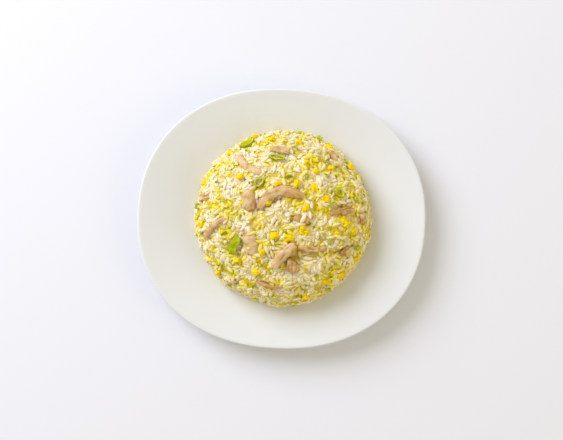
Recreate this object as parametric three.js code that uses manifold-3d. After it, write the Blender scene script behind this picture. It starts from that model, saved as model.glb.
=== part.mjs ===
// Fried rice on a plate: a heap of rice turned out of a bowl onto a slightly square coupe plate, with strips of
// pork, scrambled egg and spring onion lying in it.
//
// Millimetres, +Z up, +X along the plate's longer side. The origin is under the middle of the plate, on the
// surface that its foot stands on. Everything in the heap is placed in the heap's own frame, whose origin is on
// the floor of the plate, under the top of the heap.
import * as THREE from "three";
import { ConvexHull } from "three/addons/math/ConvexHull.js";
import { mergeVertices } from "three/addons/utils/BufferGeometryUtils.js";
import Module from "manifold-3d";

const wasm = await Module();
wasm.setup();

const { clamp, degToRad, lerp, seededRandom } = THREE.MathUtils;
const { Vector2, Vector3 } = THREE;
const TURN = 2 * Math.PI;

// ---------------------------------------------------------------------------------------------------------------
// Driving dimensions
// ---------------------------------------------------------------------------------------------------------------

const PLATE = {
  length: 246,
  width: 222,
  height: 24,
  squareness: 2.19, // exponent of the superellipse that the rim follows; 2 would be an ellipse
  floor: 8, // height of the flat floor of the well
  wall: 4.5, // thickness where the flank begins; the rim is as thick as its rounded lip
  lipRadius: 1.5,
  recess: 2.5, // how far the underside stands clear of the table, inside the foot
};

// Stations along a radius of the plate, as shares of the way from its middle to the rim.
const STATION = { footInner: 0.445, footOuter: 0.495, floorEdge: 0.42, straightFlank: 0.65 };

// The heap's section is (r / radius) ** 2 + (z / height) ** shoulder = 1. With shoulder 2 it would be half an
// ellipse; a bowl leaves fuller shoulders and a flatter top.
const HEAP = { radius: 74.3, height: 52, shoulder: 3, gap: 0.35 };
const HEAP_MIDDLE = new Vector2(1.3, 0.3); // the heap was turned out a little off the plate's middle

// What is fused to the heap stands proud of its core: cooked grains of rice, crumbs of egg and snips of spring
// onion. The crown and the skirt of each are places on it, as shares of its length and width.
const GRAIN = {
  length: 7.4,
  width: 3,
  proud: 1.3,
  crown: [[-0.24, 0], [0.24, 0]],
  skirt: [[-0.54, 0], [0.54, 0], [0, -0.52], [0, 0.52]],
};
const EGG_CRUMB = {
  length: 5.6,
  width: 4.6,
  proud: 2.4,
  crown: [[-0.28, -0.1], [0.26, -0.2], [0.06, 0.28]],
  skirt: [[-0.56, -0.1], [-0.12, -0.56], [0.5, -0.36], [0.5, 0.3], [0, 0.6], [-0.42, 0.4]],
};
const ONION_SNIP = {
  length: 5,
  width: 2.4,
  proud: 1.8,
  crown: [[-0.42, -0.36], [0.42, -0.36], [0.42, 0.36], [-0.42, 0.36]],
  skirt: [[-0.62, 0], [-0.3, -0.7], [0.3, -0.7], [0.62, 0], [0.3, 0.7], [-0.3, 0.7]],
};

// Between them the surface sinks a little below the core. Grains are thrown as darts and keep their distance.
const SINK = 0.5;
const GRAIN_DARTS = 30000;
const GRAIN_SPACING = 1.22;
const BEAD_STEP = 2.5;

// How many points the hem and the underside of the heap are made of.
const HEM_POINTS = 80;
const UNDERSIDE_POINTS = 90;

// Pieces that lie in the heap keep this clear of the rice round them.
const CLEARANCE = 0.35;

// Strips of pork. at is the place of the middle, seen from above; heading is the direction there and bend how far
// the strip turns from end to end, both in degrees; lift is how far the middle of its section is above the core.
const PORK = [
  { at: [-6, 21], heading: 19, bend: -106, length: 42, width: 8.2, thickness: 6, lift: 1.7 },
  { at: [-28.4, 13.1], heading: -77, bend: 14, length: 17.5, width: 10.2, thickness: 6.4, lift: 1.1 },
  { at: [-33, 41.9], heading: -36, bend: 70, length: 30.4, width: 6.6, thickness: 4.4, lift: 0.8 },
  { at: [-5.2, 56.4], heading: -5, bend: -16, length: 15.5, width: 6.2, thickness: 5, lift: 1 },
  { at: [-66.1, 14.8], heading: 23, bend: 0, length: 17.8, width: 5.6, thickness: 4.4, lift: 0.7 },
  { at: [-57.8, -9.7], heading: 48, bend: -34, length: 27, width: 5.8, thickness: 4.8, lift: 1.2 },
  { at: [-25.7, -20.3], heading: -76, bend: -16, length: 22.5, width: 11.6, thickness: 5.4, lift: 0.6 },
  { at: [0.6, -29.9], heading: 52, bend: -47, length: 27, width: 7.6, thickness: 5.8, lift: 1.6 },
  { at: [25.3, -24.2], heading: 1, bend: 20, length: 23.2, width: 5.6, thickness: 4.8, lift: 1.1 },
  { at: [9, -39], heading: -85, bend: 0, length: 12.2, width: 8, thickness: 6, lift: 0.9 },
  { at: [48.7, 8.4], heading: 13, bend: -13, length: 22.6, width: 5, thickness: 4.2, lift: 0.6 },
  { at: [65.9, 2.7], heading: -78, bend: 0, length: 9, width: 6, thickness: 4.8, lift: 0.9 },
  { at: [52.2, -24], heading: -116, bend: 0, length: 10, width: 5.6, thickness: 4.6, lift: 0.8 },
  { at: [15.3, -0.2], heading: -15, bend: 0, length: 12.5, width: 6, thickness: 4.6, lift: 0.7 },
  { at: [38.8, 54], heading: -36, bend: 0, length: 11, width: 4.8, thickness: 4.4, lift: 0.7 },
  { at: [-1.8, -57], heading: 3, bend: 55, length: 35.6, width: 3.6, thickness: 3.6, lift: 0.3 },
  { at: [-42.1, -55.3], heading: 19, bend: 0, length: 16.2, width: 4.6, thickness: 4, lift: 0.5 },
];

// Curds of scrambled egg as large as berries.
const EGG = [
  { at: [-58, 39.6], heading: 60, length: 9, width: 7.5, thickness: 6.5 },
  { at: [-57, 4.2], heading: 30, length: 9.5, width: 8, thickness: 6 },
  { at: [17.3, 46.2], heading: 80, length: 10, width: 6.5, thickness: 6 },
  { at: [25.6, 26], heading: 125, length: 10, width: 6.6, thickness: 6.4 },
  { at: [34, 18], heading: 5, length: 11, width: 8, thickness: 7 },
  { at: [18.5, 8.6], heading: 30, length: 10, width: 7.4, thickness: 6.6 },
  { at: [-6.2, -13.8], heading: -10, length: 10.5, width: 8, thickness: 6.6 },
  { at: [5.2, -15.6], heading: 80, length: 9.5, width: 7.4, thickness: 6.8 },
  { at: [16.6, -9.4], heading: 60, length: 11, width: 9.4, thickness: 7.4 },
  { at: [50, -0.4], heading: 10, length: 11, width: 8, thickness: 7 },
  { at: [45, -10], heading: -30, length: 9.5, width: 7, thickness: 6.4 },
  { at: [58, -7.4], heading: 30, length: 10, width: 8, thickness: 6.6 },
  { at: [70.4, -11.4], heading: 70, length: 11, width: 8.4, thickness: 7 },
  { at: [49.4, -46], heading: 60, length: 11, width: 8.6, thickness: 6.6 },
  { at: [37, -50.6], heading: 20, length: 9, width: 7, thickness: 6 },
];

// Slices of spring onion, cut across the leaf, so that each is an oval ring.
const ONION_RING = [
  { at: [-33, 61], heading: 24, length: 13, width: 8, height: 3.2 },
  { at: [-7.4, 49.8], heading: -8, length: 13, width: 5, height: 3 },
  { at: [-21, 28.6], heading: 40, length: 9, width: 7, height: 3 },
  { at: [45.2, 23], heading: -20, length: 8.6, width: 7, height: 3.2 },
];
const ONION_WALL = 1.2;

// A piece of the flat green leaf.
const ONION_LEAF = { at: [-38.6, -23], heading: 58, length: 14, width: 10.5, thickness: 1.3, lift: 1.7 };

// Crumbs of egg and snips of spring onion, too small to be pieces of their own: each is [x, y, heading].
const EGG_CRUMBS = [
  [-37, 32, 40], [-36, -36, 10], [-52, -48, 70], [-13, 12, 30], [10, 63, -10], [-5, 28, 20], [10, 29, 60],
  [-27, 67, 50], [-67, 26, 80], [37, 43, 30], [36, 61, -40], [54, 46, -50], [-12, 65, 0], [-16, -29, 90],
  [25, 39, 0], [63, -30, 40], [-46, 52, 50], [-66, -8, 90], [22, -64, 10], [-20, -45, 0],
];
const ONION_SNIPS = [
  [-31, 54, -30], [11, 71, -5], [28, 68, -30], [8, 58, -40], [39, 13, 80], [58, 20, 70], [-3, -20, 0],
  [38, -17, 85], [62, -21, 60], [-22, -55, 60], [40, -57, 20], [-74, 7, 80], [-35.5, -0.5, 85], [33, 49, 40],
  [-5, -65, 60], [-48, -14, 45], [-48, -41, 80], [3, 35, 10], [-54, 27, -30],
];

// ---------------------------------------------------------------------------------------------------------------
// The plate
// ---------------------------------------------------------------------------------------------------------------

// The mean radius turns heights and slopes of the section into shares of the radius.
const MEAN_RADIUS = (PLATE.length + PLATE.width) / 4;
const LIP_STATION = 1 - PLATE.lipRadius / MEAN_RADIUS;
const FLANK_BEND = STATION.straightFlank - STATION.floorEdge;
const FLANK_SLOPE =
  (PLATE.height - PLATE.floor) / (FLANK_BEND / 2 + LIP_STATION - STATION.straightFlank);

/** How far the rim is from the middle of the plate, in a direction. */
function rimRadius(angle) {
  const x = Math.abs(Math.cos(angle)) / (PLATE.length / 2);
  const y = Math.abs(Math.sin(angle)) / (PLATE.width / 2);
  return (x ** PLATE.squareness + y ** PLATE.squareness) ** (-1 / PLATE.squareness);
}

/** How far the plate's upper face has risen above its floor: flat, then a bend, then a straight flank. */
function flankRise(station) {
  const bent = clamp(station - STATION.floorEdge, 0, FLANK_BEND);
  const straight = Math.max(0, station - STATION.straightFlank);
  return FLANK_SLOPE * (bent ** 2 / (2 * FLANK_BEND) + straight);
}

/** The plate: a section turned as on a lathe, then stretched to the outline of the rim. */
function plateGeometry() {
  const section = [
    [0, PLATE.recess],
    [STATION.footInner - 0.02, PLATE.recess],
    [STATION.footInner, 0],
    [STATION.footOuter, 0],
  ];
  for (const station of [0.53, 0.62, 0.76, 0.9]) {
    const outward = clamp((station - STATION.footOuter) / (LIP_STATION - STATION.footOuter), 0, 1);
    const thickness = lerp(PLATE.wall, 2 * PLATE.lipRadius, outward);
    section.push([station, PLATE.floor + flankRise(station) - thickness]);
  }
  for (const degrees of [-90, -45, 0, 45, 90]) {
    const a = degToRad(degrees);
    section.push([
      LIP_STATION + (PLATE.lipRadius * Math.cos(a)) / MEAN_RADIUS,
      PLATE.height - PLATE.lipRadius * (1 - Math.sin(a)),
    ]);
  }
  for (const station of [0.83, 0.69, 0.61, 0.54, 0.47, 0.42, 0]) {
    section.push([station, PLATE.floor + flankRise(station)]);
  }
  const points = section.map(([station, z]) => new Vector2(station, z));
  const geometry = new THREE.LatheGeometry(points, 48).rotateX(Math.PI / 2);
  const position = geometry.attributes.position;
  for (let i = 0; i < position.count; i++) {
    const rim = rimRadius(Math.atan2(position.getY(i), position.getX(i)));
    position.setXY(i, position.getX(i) * rim, position.getY(i) * rim);
  }
  return geometry;
}

// ---------------------------------------------------------------------------------------------------------------
// The heap's core, and how a piece is laid on it
// ---------------------------------------------------------------------------------------------------------------

/** Where the heap would touch the plate's upper face, at a place seen from above, in the heap's frame. */
function seatHeight(x, y) {
  const px = x + HEAP_MIDDLE.x;
  const py = y + HEAP_MIDDLE.y;
  return flankRise(Math.hypot(px, py) / rimRadius(Math.atan2(py, px)));
}

/** The power of a number's size, with the number's sign. */
function signedPower(value, power) {
  return Math.sign(value) * Math.abs(value) ** power;
}

/** The point of the core that a unit direction stands for. */
function corePoint({ x, y, z }) {
  return new Vector3(HEAP.radius * x, HEAP.radius * y, HEAP.height * signedPower(z, 2 / HEAP.shoulder));
}

/** The unit direction that stands for the point of the core nearest to a point. */
function coreDirection({ x, y, z }) {
  const upward = signedPower(z / HEAP.height, HEAP.shoulder / 2);
  return new Vector3(x / HEAP.radius, y / HEAP.radius, upward).normalize();
}

/** The outward normal of the core in a unit direction. */
function coreNormal({ x, y, z }) {
  const upward = (HEAP.shoulder / 2) * signedPower(z, 2 - 2 / HEAP.shoulder);
  return new Vector3(x / HEAP.radius, y / HEAP.radius, upward / HEAP.height).normalize();
}

/** A frame on the core: at is a place seen from above, and heading the direction of along, seen from above. */
function coreFrame([x, y], heading) {
  const direction = new Vector3(x / HEAP.radius, y / HEAP.radius, 0);
  direction.z = Math.sqrt(Math.max(0, 1 - direction.lengthSq()));
  const up = coreNormal(direction);
  const along = new Vector3(Math.cos(degToRad(heading)), Math.sin(degToRad(heading)), 0);
  along.z = -up.dot(along) / Math.max(up.z, 0.05);
  along.normalize();
  return { spot: corePoint(direction), up, along, across: up.clone().cross(along) };
}

/** Lays a blank, made flat round the origin with its length along X, on the core, bent as its piece says. */
function lay(blank, { at, heading, bend = 0, length, lift = 0 }) {
  const { spot, along, across } = coreFrame(at, heading);
  const arc = degToRad(bend);
  const position = blank.attributes.position;
  for (let i = 0; i < position.count; i++) {
    let a = position.getX(i);
    let b = position.getY(i);
    if (arc !== 0) {
      const radius = length / arc;
      const turned = a / radius;
      a = (radius - b) * Math.sin(turned);
      b = radius - (radius - b) * Math.cos(turned);
    }
    const direction = coreDirection(spot.clone().addScaledVector(along, a).addScaledVector(across, b));
    const laid = corePoint(direction).addScaledVector(coreNormal(direction), position.getZ(i) + lift);
    position.setXYZ(i, laid.x, laid.y, laid.z);
  }
  return blank;
}

// ---------------------------------------------------------------------------------------------------------------
// Blanks of the pieces. grow makes a blank that much larger on every side, to cut its bed in the rice.
// ---------------------------------------------------------------------------------------------------------------

/** A blunt-ended strip of meat, thicker and thinner along its length. */
function stripBlank({ length, width, thickness }, number, grow = 0) {
  const blank = new THREE.SphereGeometry(1, 7, 6).rotateZ(-Math.PI / 2);
  const position = blank.attributes.position;
  for (let i = 0; i < position.count; i++) {
    const ball = new Vector3().fromBufferAttribute(position, i);
    const girth = Math.hypot(ball.y, ball.z);
    const blunt = girth > 1e-6 ? girth ** 0.45 / girth : 0;
    const end = Math.sign(ball.x) * Math.abs(ball.x) ** 0.7;
    const swell = 1 + 0.12 * Math.sin(2.6 * end + 1.9 * number);
    position.setXYZ(
      i,
      end * (length / 2 + grow),
      ball.y * blunt * ((width / 2) * swell + grow),
      ball.z * blunt * ((thickness / 2) * swell + grow),
    );
  }
  return blank;
}

/** A lumpy curd of egg. */
function curdBlank({ length, width, thickness }, number, grow = 0) {
  const blank = new THREE.IcosahedronGeometry(1, 1);
  const position = blank.attributes.position;
  for (let i = 0; i < position.count; i++) {
    const ball = new Vector3().fromBufferAttribute(position, i);
    const lumps = Math.sin(3.7 * ball.x + number) * Math.sin(3.1 * ball.y + 2 * number);
    const swell = 1 + 0.2 * lumps * (1 - Math.abs(ball.z));
    position.setXYZ(
      i,
      ball.x * ((length / 2) * swell + grow),
      ball.y * ((width / 2) * swell + grow),
      ball.z * (thickness / 2 + grow),
    );
  }
  return blank;
}

/** A ring of spring onion lying flat, squeezed to an oval. */
function ringBlank({ length, width, height }, number, grow = 0) {
  const outer = length / 2 + grow;
  const inner = length / 2 - ONION_WALL - grow;
  const half = height / 2 + grow;
  const section = [
    [inner, -half],
    [outer, -half],
    [outer, half],
    [inner, half],
    [inner, -half],
  ].map(([r, z]) => new Vector2(r, z));
  const blank = new THREE.LatheGeometry(section, 12).rotateX(Math.PI / 2);
  const position = blank.attributes.position;
  const squeeze = length / 2 - width / 2;
  for (let i = 0; i < position.count; i++) {
    const side = Math.sin(Math.atan2(position.getY(i), position.getX(i)));
    position.setY(i, position.getY(i) - squeeze * side);
  }
  return blank;
}

/** A wavy piece of leaf, torn to a point at one end. */
function leafBlank({ length, width, thickness }, number, grow = 0) {
  const blank = new THREE.BoxGeometry(length, width, thickness, 5, 3, 1);
  const position = blank.attributes.position;
  for (let i = 0; i < position.count; i++) {
    const [x, y, z] = [position.getX(i), position.getY(i), position.getZ(i)];
    const taper = lerp(1, 0.3, x / length + 0.5);
    const wave = 0.5 * Math.sin(0.6 * x + 0.5 * y);
    position.setXYZ(i, x + Math.sign(x) * grow, y * taper + Math.sign(y) * grow, z + wave + Math.sign(z) * grow);
  }
  return blank;
}

// ---------------------------------------------------------------------------------------------------------------
// Solids
// ---------------------------------------------------------------------------------------------------------------

function toSolid(geometry) {
  geometry.deleteAttribute("normal");
  geometry.deleteAttribute("uv");
  const merged = mergeVertices(geometry, 1e-4);
  return new wasm.Manifold(
    new wasm.Mesh({
      numProp: 3,
      vertProperties: merged.attributes.position.array,
      triVerts: new Uint32Array(merged.index.array),
    }),
  );
}

function toGeometry(solid) {
  const mesh = solid.getMesh();
  const geometry = new THREE.BufferGeometry();
  geometry.setAttribute("position", new THREE.BufferAttribute(mesh.vertProperties, mesh.numProp));
  geometry.setIndex(new THREE.BufferAttribute(mesh.triVerts, 1));
  return geometry;
}

// ---------------------------------------------------------------------------------------------------------------
// The rice
// ---------------------------------------------------------------------------------------------------------------

/** The middle line of every piece that lies in the heap, as beads with the room that the piece takes there. */
function pieceBeads(pieces) {
  return pieces.flatMap(({ piece }) => {
    const count = Math.ceil(piece.length / BEAD_STEP);
    const line = Array.from({ length: count }, (_, i) => new Vector3(((i + 0.5) / count - 0.5) * piece.length, 0, 0));
    const laid = lay(new THREE.BufferGeometry().setFromPoints(line), piece).attributes.position;
    return line.map((_, i) => ({
      bead: new Vector3().fromBufferAttribute(laid, i),
      room: (piece.width + GRAIN.width) / 2,
    }));
  });
}

/** The crumbs and snips, and round them grains as close as darts thrown at random can put them. */
function scatterRelief(pieces) {
  seededRandom(11);
  const relief = [];
  const taken = pieceBeads(pieces);
  const beadsOf = ({ spot, along }, { length, width }) =>
    [-1, 0, 1].map((k) => spot.clone().addScaledVector(along, (k * (length - width)) / 2));
  const settle = (frame, form, beads) => {
    relief.push({ ...frame, form });
    const room = (form.width + GRAIN.width * (2 * GRAIN_SPACING - 1)) / 2;
    beads.forEach((bead) => taken.push({ bead, room }));
  };

  for (const [rows, form] of [[EGG_CRUMBS, EGG_CRUMB], [ONION_SNIPS, ONION_SNIP]]) {
    for (const [x, y, heading] of rows) {
      const frame = coreFrame([x, y], heading);
      settle(frame, form, beadsOf(frame, form));
    }
  }
  for (let dart = 0; dart < GRAIN_DARTS; dart++) {
    const angle = TURN * seededRandom();
    const upward = lerp(0.04, 1, seededRandom());
    const outward = HEAP.radius * Math.sqrt(1 - upward ** 2);
    const frame = coreFrame([outward * Math.cos(angle), outward * Math.sin(angle)], 360 * seededRandom());
    const beads = beadsOf(frame, GRAIN);
    const crowded = taken.some(({ bead, room }) => beads.some((mine) => mine.distanceTo(bead) < room));
    if (!crowded) settle(frame, GRAIN, beads);
  }
  return relief;
}

/** The heap's surface: points spread over a sphere, each then raised to its place on the heap. */
function riceGeometry(pieces) {
  const places = new Map(); // direction -> the point of the heap's surface that it stands for
  const skirts = [];
  const put = (direction, raised) => {
    const point = corePoint(direction).addScaledVector(coreNormal(direction), raised);
    point.z = Math.max(point.z, seatHeight(point.x, point.y));
    places.set(direction, point);
  };

  for (const { spot, along, across, form } of scatterRelief(pieces)) {
    const { length, width, proud, crown, skirt } = form;
    const directionOf = ([a, b]) =>
      coreDirection(spot.clone().addScaledVector(along, a * length).addScaledVector(across, b * width));
    crown.forEach((share) => put(directionOf(share), proud));
    for (const direction of skirt.map(directionOf)) {
      const point = corePoint(direction);
      if (skirts.some((other) => other.distanceTo(point) < GRAIN.width / 2)) continue;
      skirts.push(point);
      put(direction, -SINK);
    }
  }

  for (let i = 0; i < HEM_POINTS; i++) {
    const angle = (TURN * i) / HEM_POINTS;
    const [x, y] = [HEAP.radius * Math.cos(angle), HEAP.radius * Math.sin(angle)];
    put(coreDirection(new Vector3(x, y, seatHeight(x, y))), 0);
  }
  const goldenAngle = Math.PI * (3 - Math.sqrt(5));
  for (let i = 0; i < UNDERSIDE_POINTS; i++) {
    const downward = lerp(0.25, 1, (i + 0.5) / UNDERSIDE_POINTS);
    const outward = Math.sqrt(1 - downward ** 2);
    const angle = i * goldenAngle;
    const direction = new Vector3(outward * Math.cos(angle), outward * Math.sin(angle), -downward);
    const point = corePoint(direction);
    places.set(direction, point.setZ(seatHeight(point.x, point.y)));
  }

  const corners = [];
  for (const face of new ConvexHull().setFromPoints([...places.keys()]).faces) {
    let edge = face.edge;
    do {
      corners.push(...places.get(edge.head().point).toArray());
      edge = edge.next;
    } while (edge !== face.edge);
  }
  return new THREE.BufferGeometry().setAttribute("position", new THREE.Float32BufferAttribute(corners, 3));
}

/** The rice, with a bed cut in it for every larger piece. */
function riceSolid(pieces) {
  let rice = toSolid(riceGeometry(pieces));
  for (const { blank, piece, number } of pieces) {
    rice = rice.subtract(toSolid(lay(blank(piece, number, CLEARANCE), piece)));
  }
  const bodies = rice.decompose();
  return bodies.reduce((largest, body) => (body.volume() > largest.volume() ? body : largest));
}

// ---------------------------------------------------------------------------------------------------------------
// The dish
// ---------------------------------------------------------------------------------------------------------------

const GLAZE = new THREE.MeshStandardMaterial({ color: 0xf4f2ec, roughness: 0.25, metalness: 0 });
const RICE = new THREE.MeshStandardMaterial({ color: 0xefe2b4, roughness: 0.5, metalness: 0 });
const MEAT = new THREE.MeshStandardMaterial({ color: 0xd3a98c, roughness: 0.5, metalness: 0 });
const YOLK = new THREE.MeshStandardMaterial({ color: 0xf6d21e, roughness: 0.5, metalness: 0 });
const LEAF = new THREE.MeshStandardMaterial({ color: 0x93ad1a, roughness: 0.4, metalness: 0 });

const KINDS = [
  { name: "pork_strip", rows: PORK, blank: stripBlank, material: MEAT },
  { name: "egg_curd", rows: EGG, blank: curdBlank, material: YOLK, lift: 0.4 },
  { name: "onion_ring", rows: ONION_RING, blank: ringBlank, material: LEAF, lift: 0.9 },
  { name: "onion_leaf", rows: [ONION_LEAF], blank: leafBlank, material: LEAF },
];

const pieces = KINDS.flatMap(({ name, rows, blank, material, lift = 0 }) =>
  rows.map((row, index) => ({
    name: `${name}_${String(index + 1).padStart(2, "0")}`,
    piece: { lift, ...row },
    number: index,
    blank,
    material,
  })),
);

function named(name, geometry, material) {
  const mesh = new THREE.Mesh(geometry, material);
  mesh.name = name;
  return mesh;
}

const heap = new THREE.Group();
heap.position.set(HEAP_MIDDLE.x, HEAP_MIDDLE.y, PLATE.floor + HEAP.gap);
heap.add(named("rice_heap", toGeometry(riceSolid(pieces)), RICE));
for (const { name, piece, number, blank, material } of pieces) {
  heap.add(named(name, lay(blank(piece, number), piece), material));
}

const dish = new THREE.Group();
dish.add(named("plate", plateGeometry(), GLAZE));
dish.add(heap);

export default dish;
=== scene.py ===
"""Fried rice on a plate: a heap of rice turned out of a bowl, with pork, egg and spring onion lying in it.

The lengths of the dish are in millimetres, in the frame of the plate: +X along its longer side, +Z up, and
the origin under its middle. What lies in the heap is placed in the heap's own frame, whose origin is on the
floor of the plate, under the top of the heap. Lengths become metres when a piece is made.
"""

import logging
import math
from dataclasses import dataclass, field, fields
from enum import Enum
from typing import Callable, ClassVar, Iterable, Optional, Sequence

import bmesh
import bpy
import numpy as np
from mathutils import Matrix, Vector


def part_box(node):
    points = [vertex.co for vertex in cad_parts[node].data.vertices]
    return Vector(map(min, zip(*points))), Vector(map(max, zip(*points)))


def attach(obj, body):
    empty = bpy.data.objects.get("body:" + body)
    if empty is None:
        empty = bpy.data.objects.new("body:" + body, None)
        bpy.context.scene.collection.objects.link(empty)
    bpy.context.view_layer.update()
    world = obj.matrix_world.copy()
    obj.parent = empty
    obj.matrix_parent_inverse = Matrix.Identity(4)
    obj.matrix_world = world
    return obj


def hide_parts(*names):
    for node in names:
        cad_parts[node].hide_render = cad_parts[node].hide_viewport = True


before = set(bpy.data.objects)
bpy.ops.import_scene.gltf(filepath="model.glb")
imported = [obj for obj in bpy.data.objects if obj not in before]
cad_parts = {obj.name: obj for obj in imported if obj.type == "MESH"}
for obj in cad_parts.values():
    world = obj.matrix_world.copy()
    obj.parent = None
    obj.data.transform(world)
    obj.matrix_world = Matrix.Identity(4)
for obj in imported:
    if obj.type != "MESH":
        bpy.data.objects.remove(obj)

logging.basicConfig(level=logging.INFO, format="%(message)s")
log = logging.getLogger("fried_rice")

MM = 0.001
TURN = 2 * math.pi
BODY = "root"

Colour = tuple[float, float, float]
Points = np.ndarray
Faces = list[np.ndarray]
Marks = dict[str, np.ndarray]
Made = tuple[Points, Faces, Marks]
Reliefs = tuple[tuple[int, float], ...]
Range = tuple[float, float]
Pairs = tuple[np.ndarray, np.ndarray]
Grid = np.ndarray | float
Socket = bpy.types.NodeSocket
Material = bpy.types.Material


# Small tools
# -----------


def unit(vectors: Points) -> Points:
    """Scales every vector in the last axis to length 1."""
    return vectors / np.maximum(np.linalg.norm(vectors, axis=-1, keepdims=True), 1e-9)


def signed_power(values: Points, power: float) -> Points:
    """Raises the size of each value to a power and keeps its sign."""
    return np.sign(values) * np.abs(values) ** power


def around(count: int) -> np.ndarray:
    """Gives angles spread evenly over a full turn."""
    return np.linspace(0, TURN, count, endpoint=False)


def stations(count: int) -> np.ndarray:
    """Gives places along a body between -1 and 1, closer together near the ends, a row for each."""
    return np.sin(np.linspace(-1, 1, count + 2) * math.pi / 2)[1:-1, None]


def listed(x: Grid, y: Grid, z: Grid) -> Points:
    """Makes a list of points from coordinates on a grid, each a grid, a row, a column or one number."""
    return np.stack(np.broadcast_arrays(x, y, z), axis=-1).reshape(-1, 3)


def capped(points: Points, sides: int) -> Points:
    """Adds the middles of the first and of the last ring, which close a body's ends."""
    return np.concatenate([points, [points[:sides].mean(axis=0), points[-sides:].mean(axis=0)]])


def linear(red: int, green: int, blue: int) -> Colour:
    """Turns a colour as seen on a screen into the linear colour that shaders take.

    Args:
        red: Its red, from 0 to 255.
        green: Its green.
        blue: Its blue.

    Returns:
        The linear colour.
    """
    shares = np.array([red, green, blue]) / 255
    bright = ((shares + 0.055) / 1.055) ** 2.4
    return tuple(float(c) for c in np.where(shares <= 0.04045, shares / 12.92, bright))


class Waves:
    """Smooth random relief, of mean 0 and spread 1: plane waves of about one length in random directions."""

    def __init__(self, seed: int, length: float, count: int = 24) -> None:
        """Draws the waves.

        Args:
            seed: Seed of the random draw.
            length: The usual distance from crest to crest.
            count: How many waves are summed.
        """
        rng = np.random.default_rng(seed)
        heading = unit(rng.normal(size=(count, 3)))
        self.pace = heading * TURN / (length * rng.uniform(0.7, 1.4, (count, 1)))
        self.phase = rng.uniform(0, TURN, count)

    def __call__(self, points: Points) -> Points:
        """Gives the relief's height at each point."""
        return np.sin(points @ self.pace.T + self.phase).sum(axis=-1) / math.sqrt(len(self.phase) / 2)


def relief(sizes: Reliefs, points: Points, seed: int = 0) -> np.ndarray:
    """Sums waves of several lengths, each given with its height, at each point."""
    return sum(height * Waves(seed + size, size)(points) for size, height in sizes)


@dataclass
class Draft:
    """Points, faces and marks of a piece that is being made, in millimetres in the plate's frame."""

    points: list[Points] = field(default_factory=list)
    faces: Faces = field(default_factory=list)
    marks: dict[str, list[np.ndarray]] = field(default_factory=dict)
    count: int = 0

    def add(self, points: Points, faces: Iterable[np.ndarray], **marks: np.ndarray) -> "Draft":
        """Adds a closed body.

        Args:
            points: Its points.
            faces: Its faces, as arrays of corner numbers, one array for each number of corners.
            marks: Values on its points, which its material reads by name.

        Returns:
            The draft itself.
        """
        self.points.append(points)
        self.faces.extend(block + self.count for block in faces)
        for name, values in marks.items():
            self.marks.setdefault(name, []).append(np.broadcast_to(values, len(points)))
        self.count += len(points)
        return self

    def piece(self, name: str, material: Material, slot: str, node: str) -> None:
        """Makes the piece, lets it ride on the dish and stand for a solid of the frame.

        Args:
            name: Name of the piece.
            material: Its finish.
            slot: The material slot that it stands for. Not used.
            node: The frame's solid that it replaces.
        """
        mesh = bpy.data.meshes.new(name)
        corners = np.concatenate([block.ravel() for block in self.faces])
        sizes = np.concatenate([np.full(len(block), block.shape[1]) for block in self.faces])
        mesh.vertices.add(self.count)
        mesh.vertices.foreach_set("co", (np.concatenate(self.points) * MM).astype(np.float32).ravel())
        mesh.loops.add(len(corners))
        mesh.loops.foreach_set("vertex_index", corners.astype(np.int32))
        mesh.polygons.add(len(sizes))
        mesh.polygons.foreach_set("loop_start", (np.cumsum(sizes) - sizes).astype(np.int32))
        mesh.update(calc_edges=True)
        mesh.validate()
        mesh.shade_smooth()
        for mark, values in self.marks.items():
            layer = mesh.attributes.new(mark, "FLOAT", "POINT")
            layer.data.foreach_set("value", np.concatenate(values).astype(np.float32))
        mesh.materials.append(material)
        made = bpy.data.objects.new(name, mesh)
        bpy.context.scene.collection.objects.link(made)
        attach(made, BODY)
        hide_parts(node)
        log.info("%s: %d triangles, stands for %s", name, (sizes - 2).sum(), node)


def turned_faces(rings: int, sides: int, closed: bool = False, flipped: bool = False) -> Faces:
    """Faces of a body of revolution.

    Args:
        rings: Number of rings of points.
        sides: Number of points in a ring.
        closed: True if the last ring joins the first, as round a torus. If False, two more points, after
            those of the rings, close the first and the last ring.
        flipped: True if the rings turn the other way round the way from the first to the last.

    Returns:
        The quads and, where ends are closed, the triangles.
    """
    ring, side = np.arange(rings if closed else rings - 1)[:, None], np.arange(sides)
    after, beside = (ring + 1) % rings, (side + 1) % sides
    corners = [ring * sides + side, ring * sides + beside, after * sides + beside, after * sides + side]
    faces = [np.stack(corners, axis=-1).reshape(-1, 4)]
    if not closed:
        middle, top = np.full(sides, rings * sides), (rings - 1) * sides
        first = np.stack([middle, beside, side], axis=-1)
        last = np.stack([middle + 1, top + side, top + beside], axis=-1)
        faces.append(np.concatenate([first, last]))
    return [block[:, ::-1] for block in faces] if flipped else faces


def ball(detail: int) -> tuple[Points, np.ndarray]:
    """Makes an even ball of radius 1.

    Args:
        detail: How often its triangles are divided.

    Returns:
        Its points and its triangles.
    """
    shape = bmesh.new()
    bmesh.ops.create_icosphere(shape, subdivisions=detail, radius=1)
    points = np.array([v.co for v in shape.verts])
    triangles = np.array([[v.index for v in f.verts] for f in shape.faces])
    shape.free()
    return points, triangles


# Finishes
# --------


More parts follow.
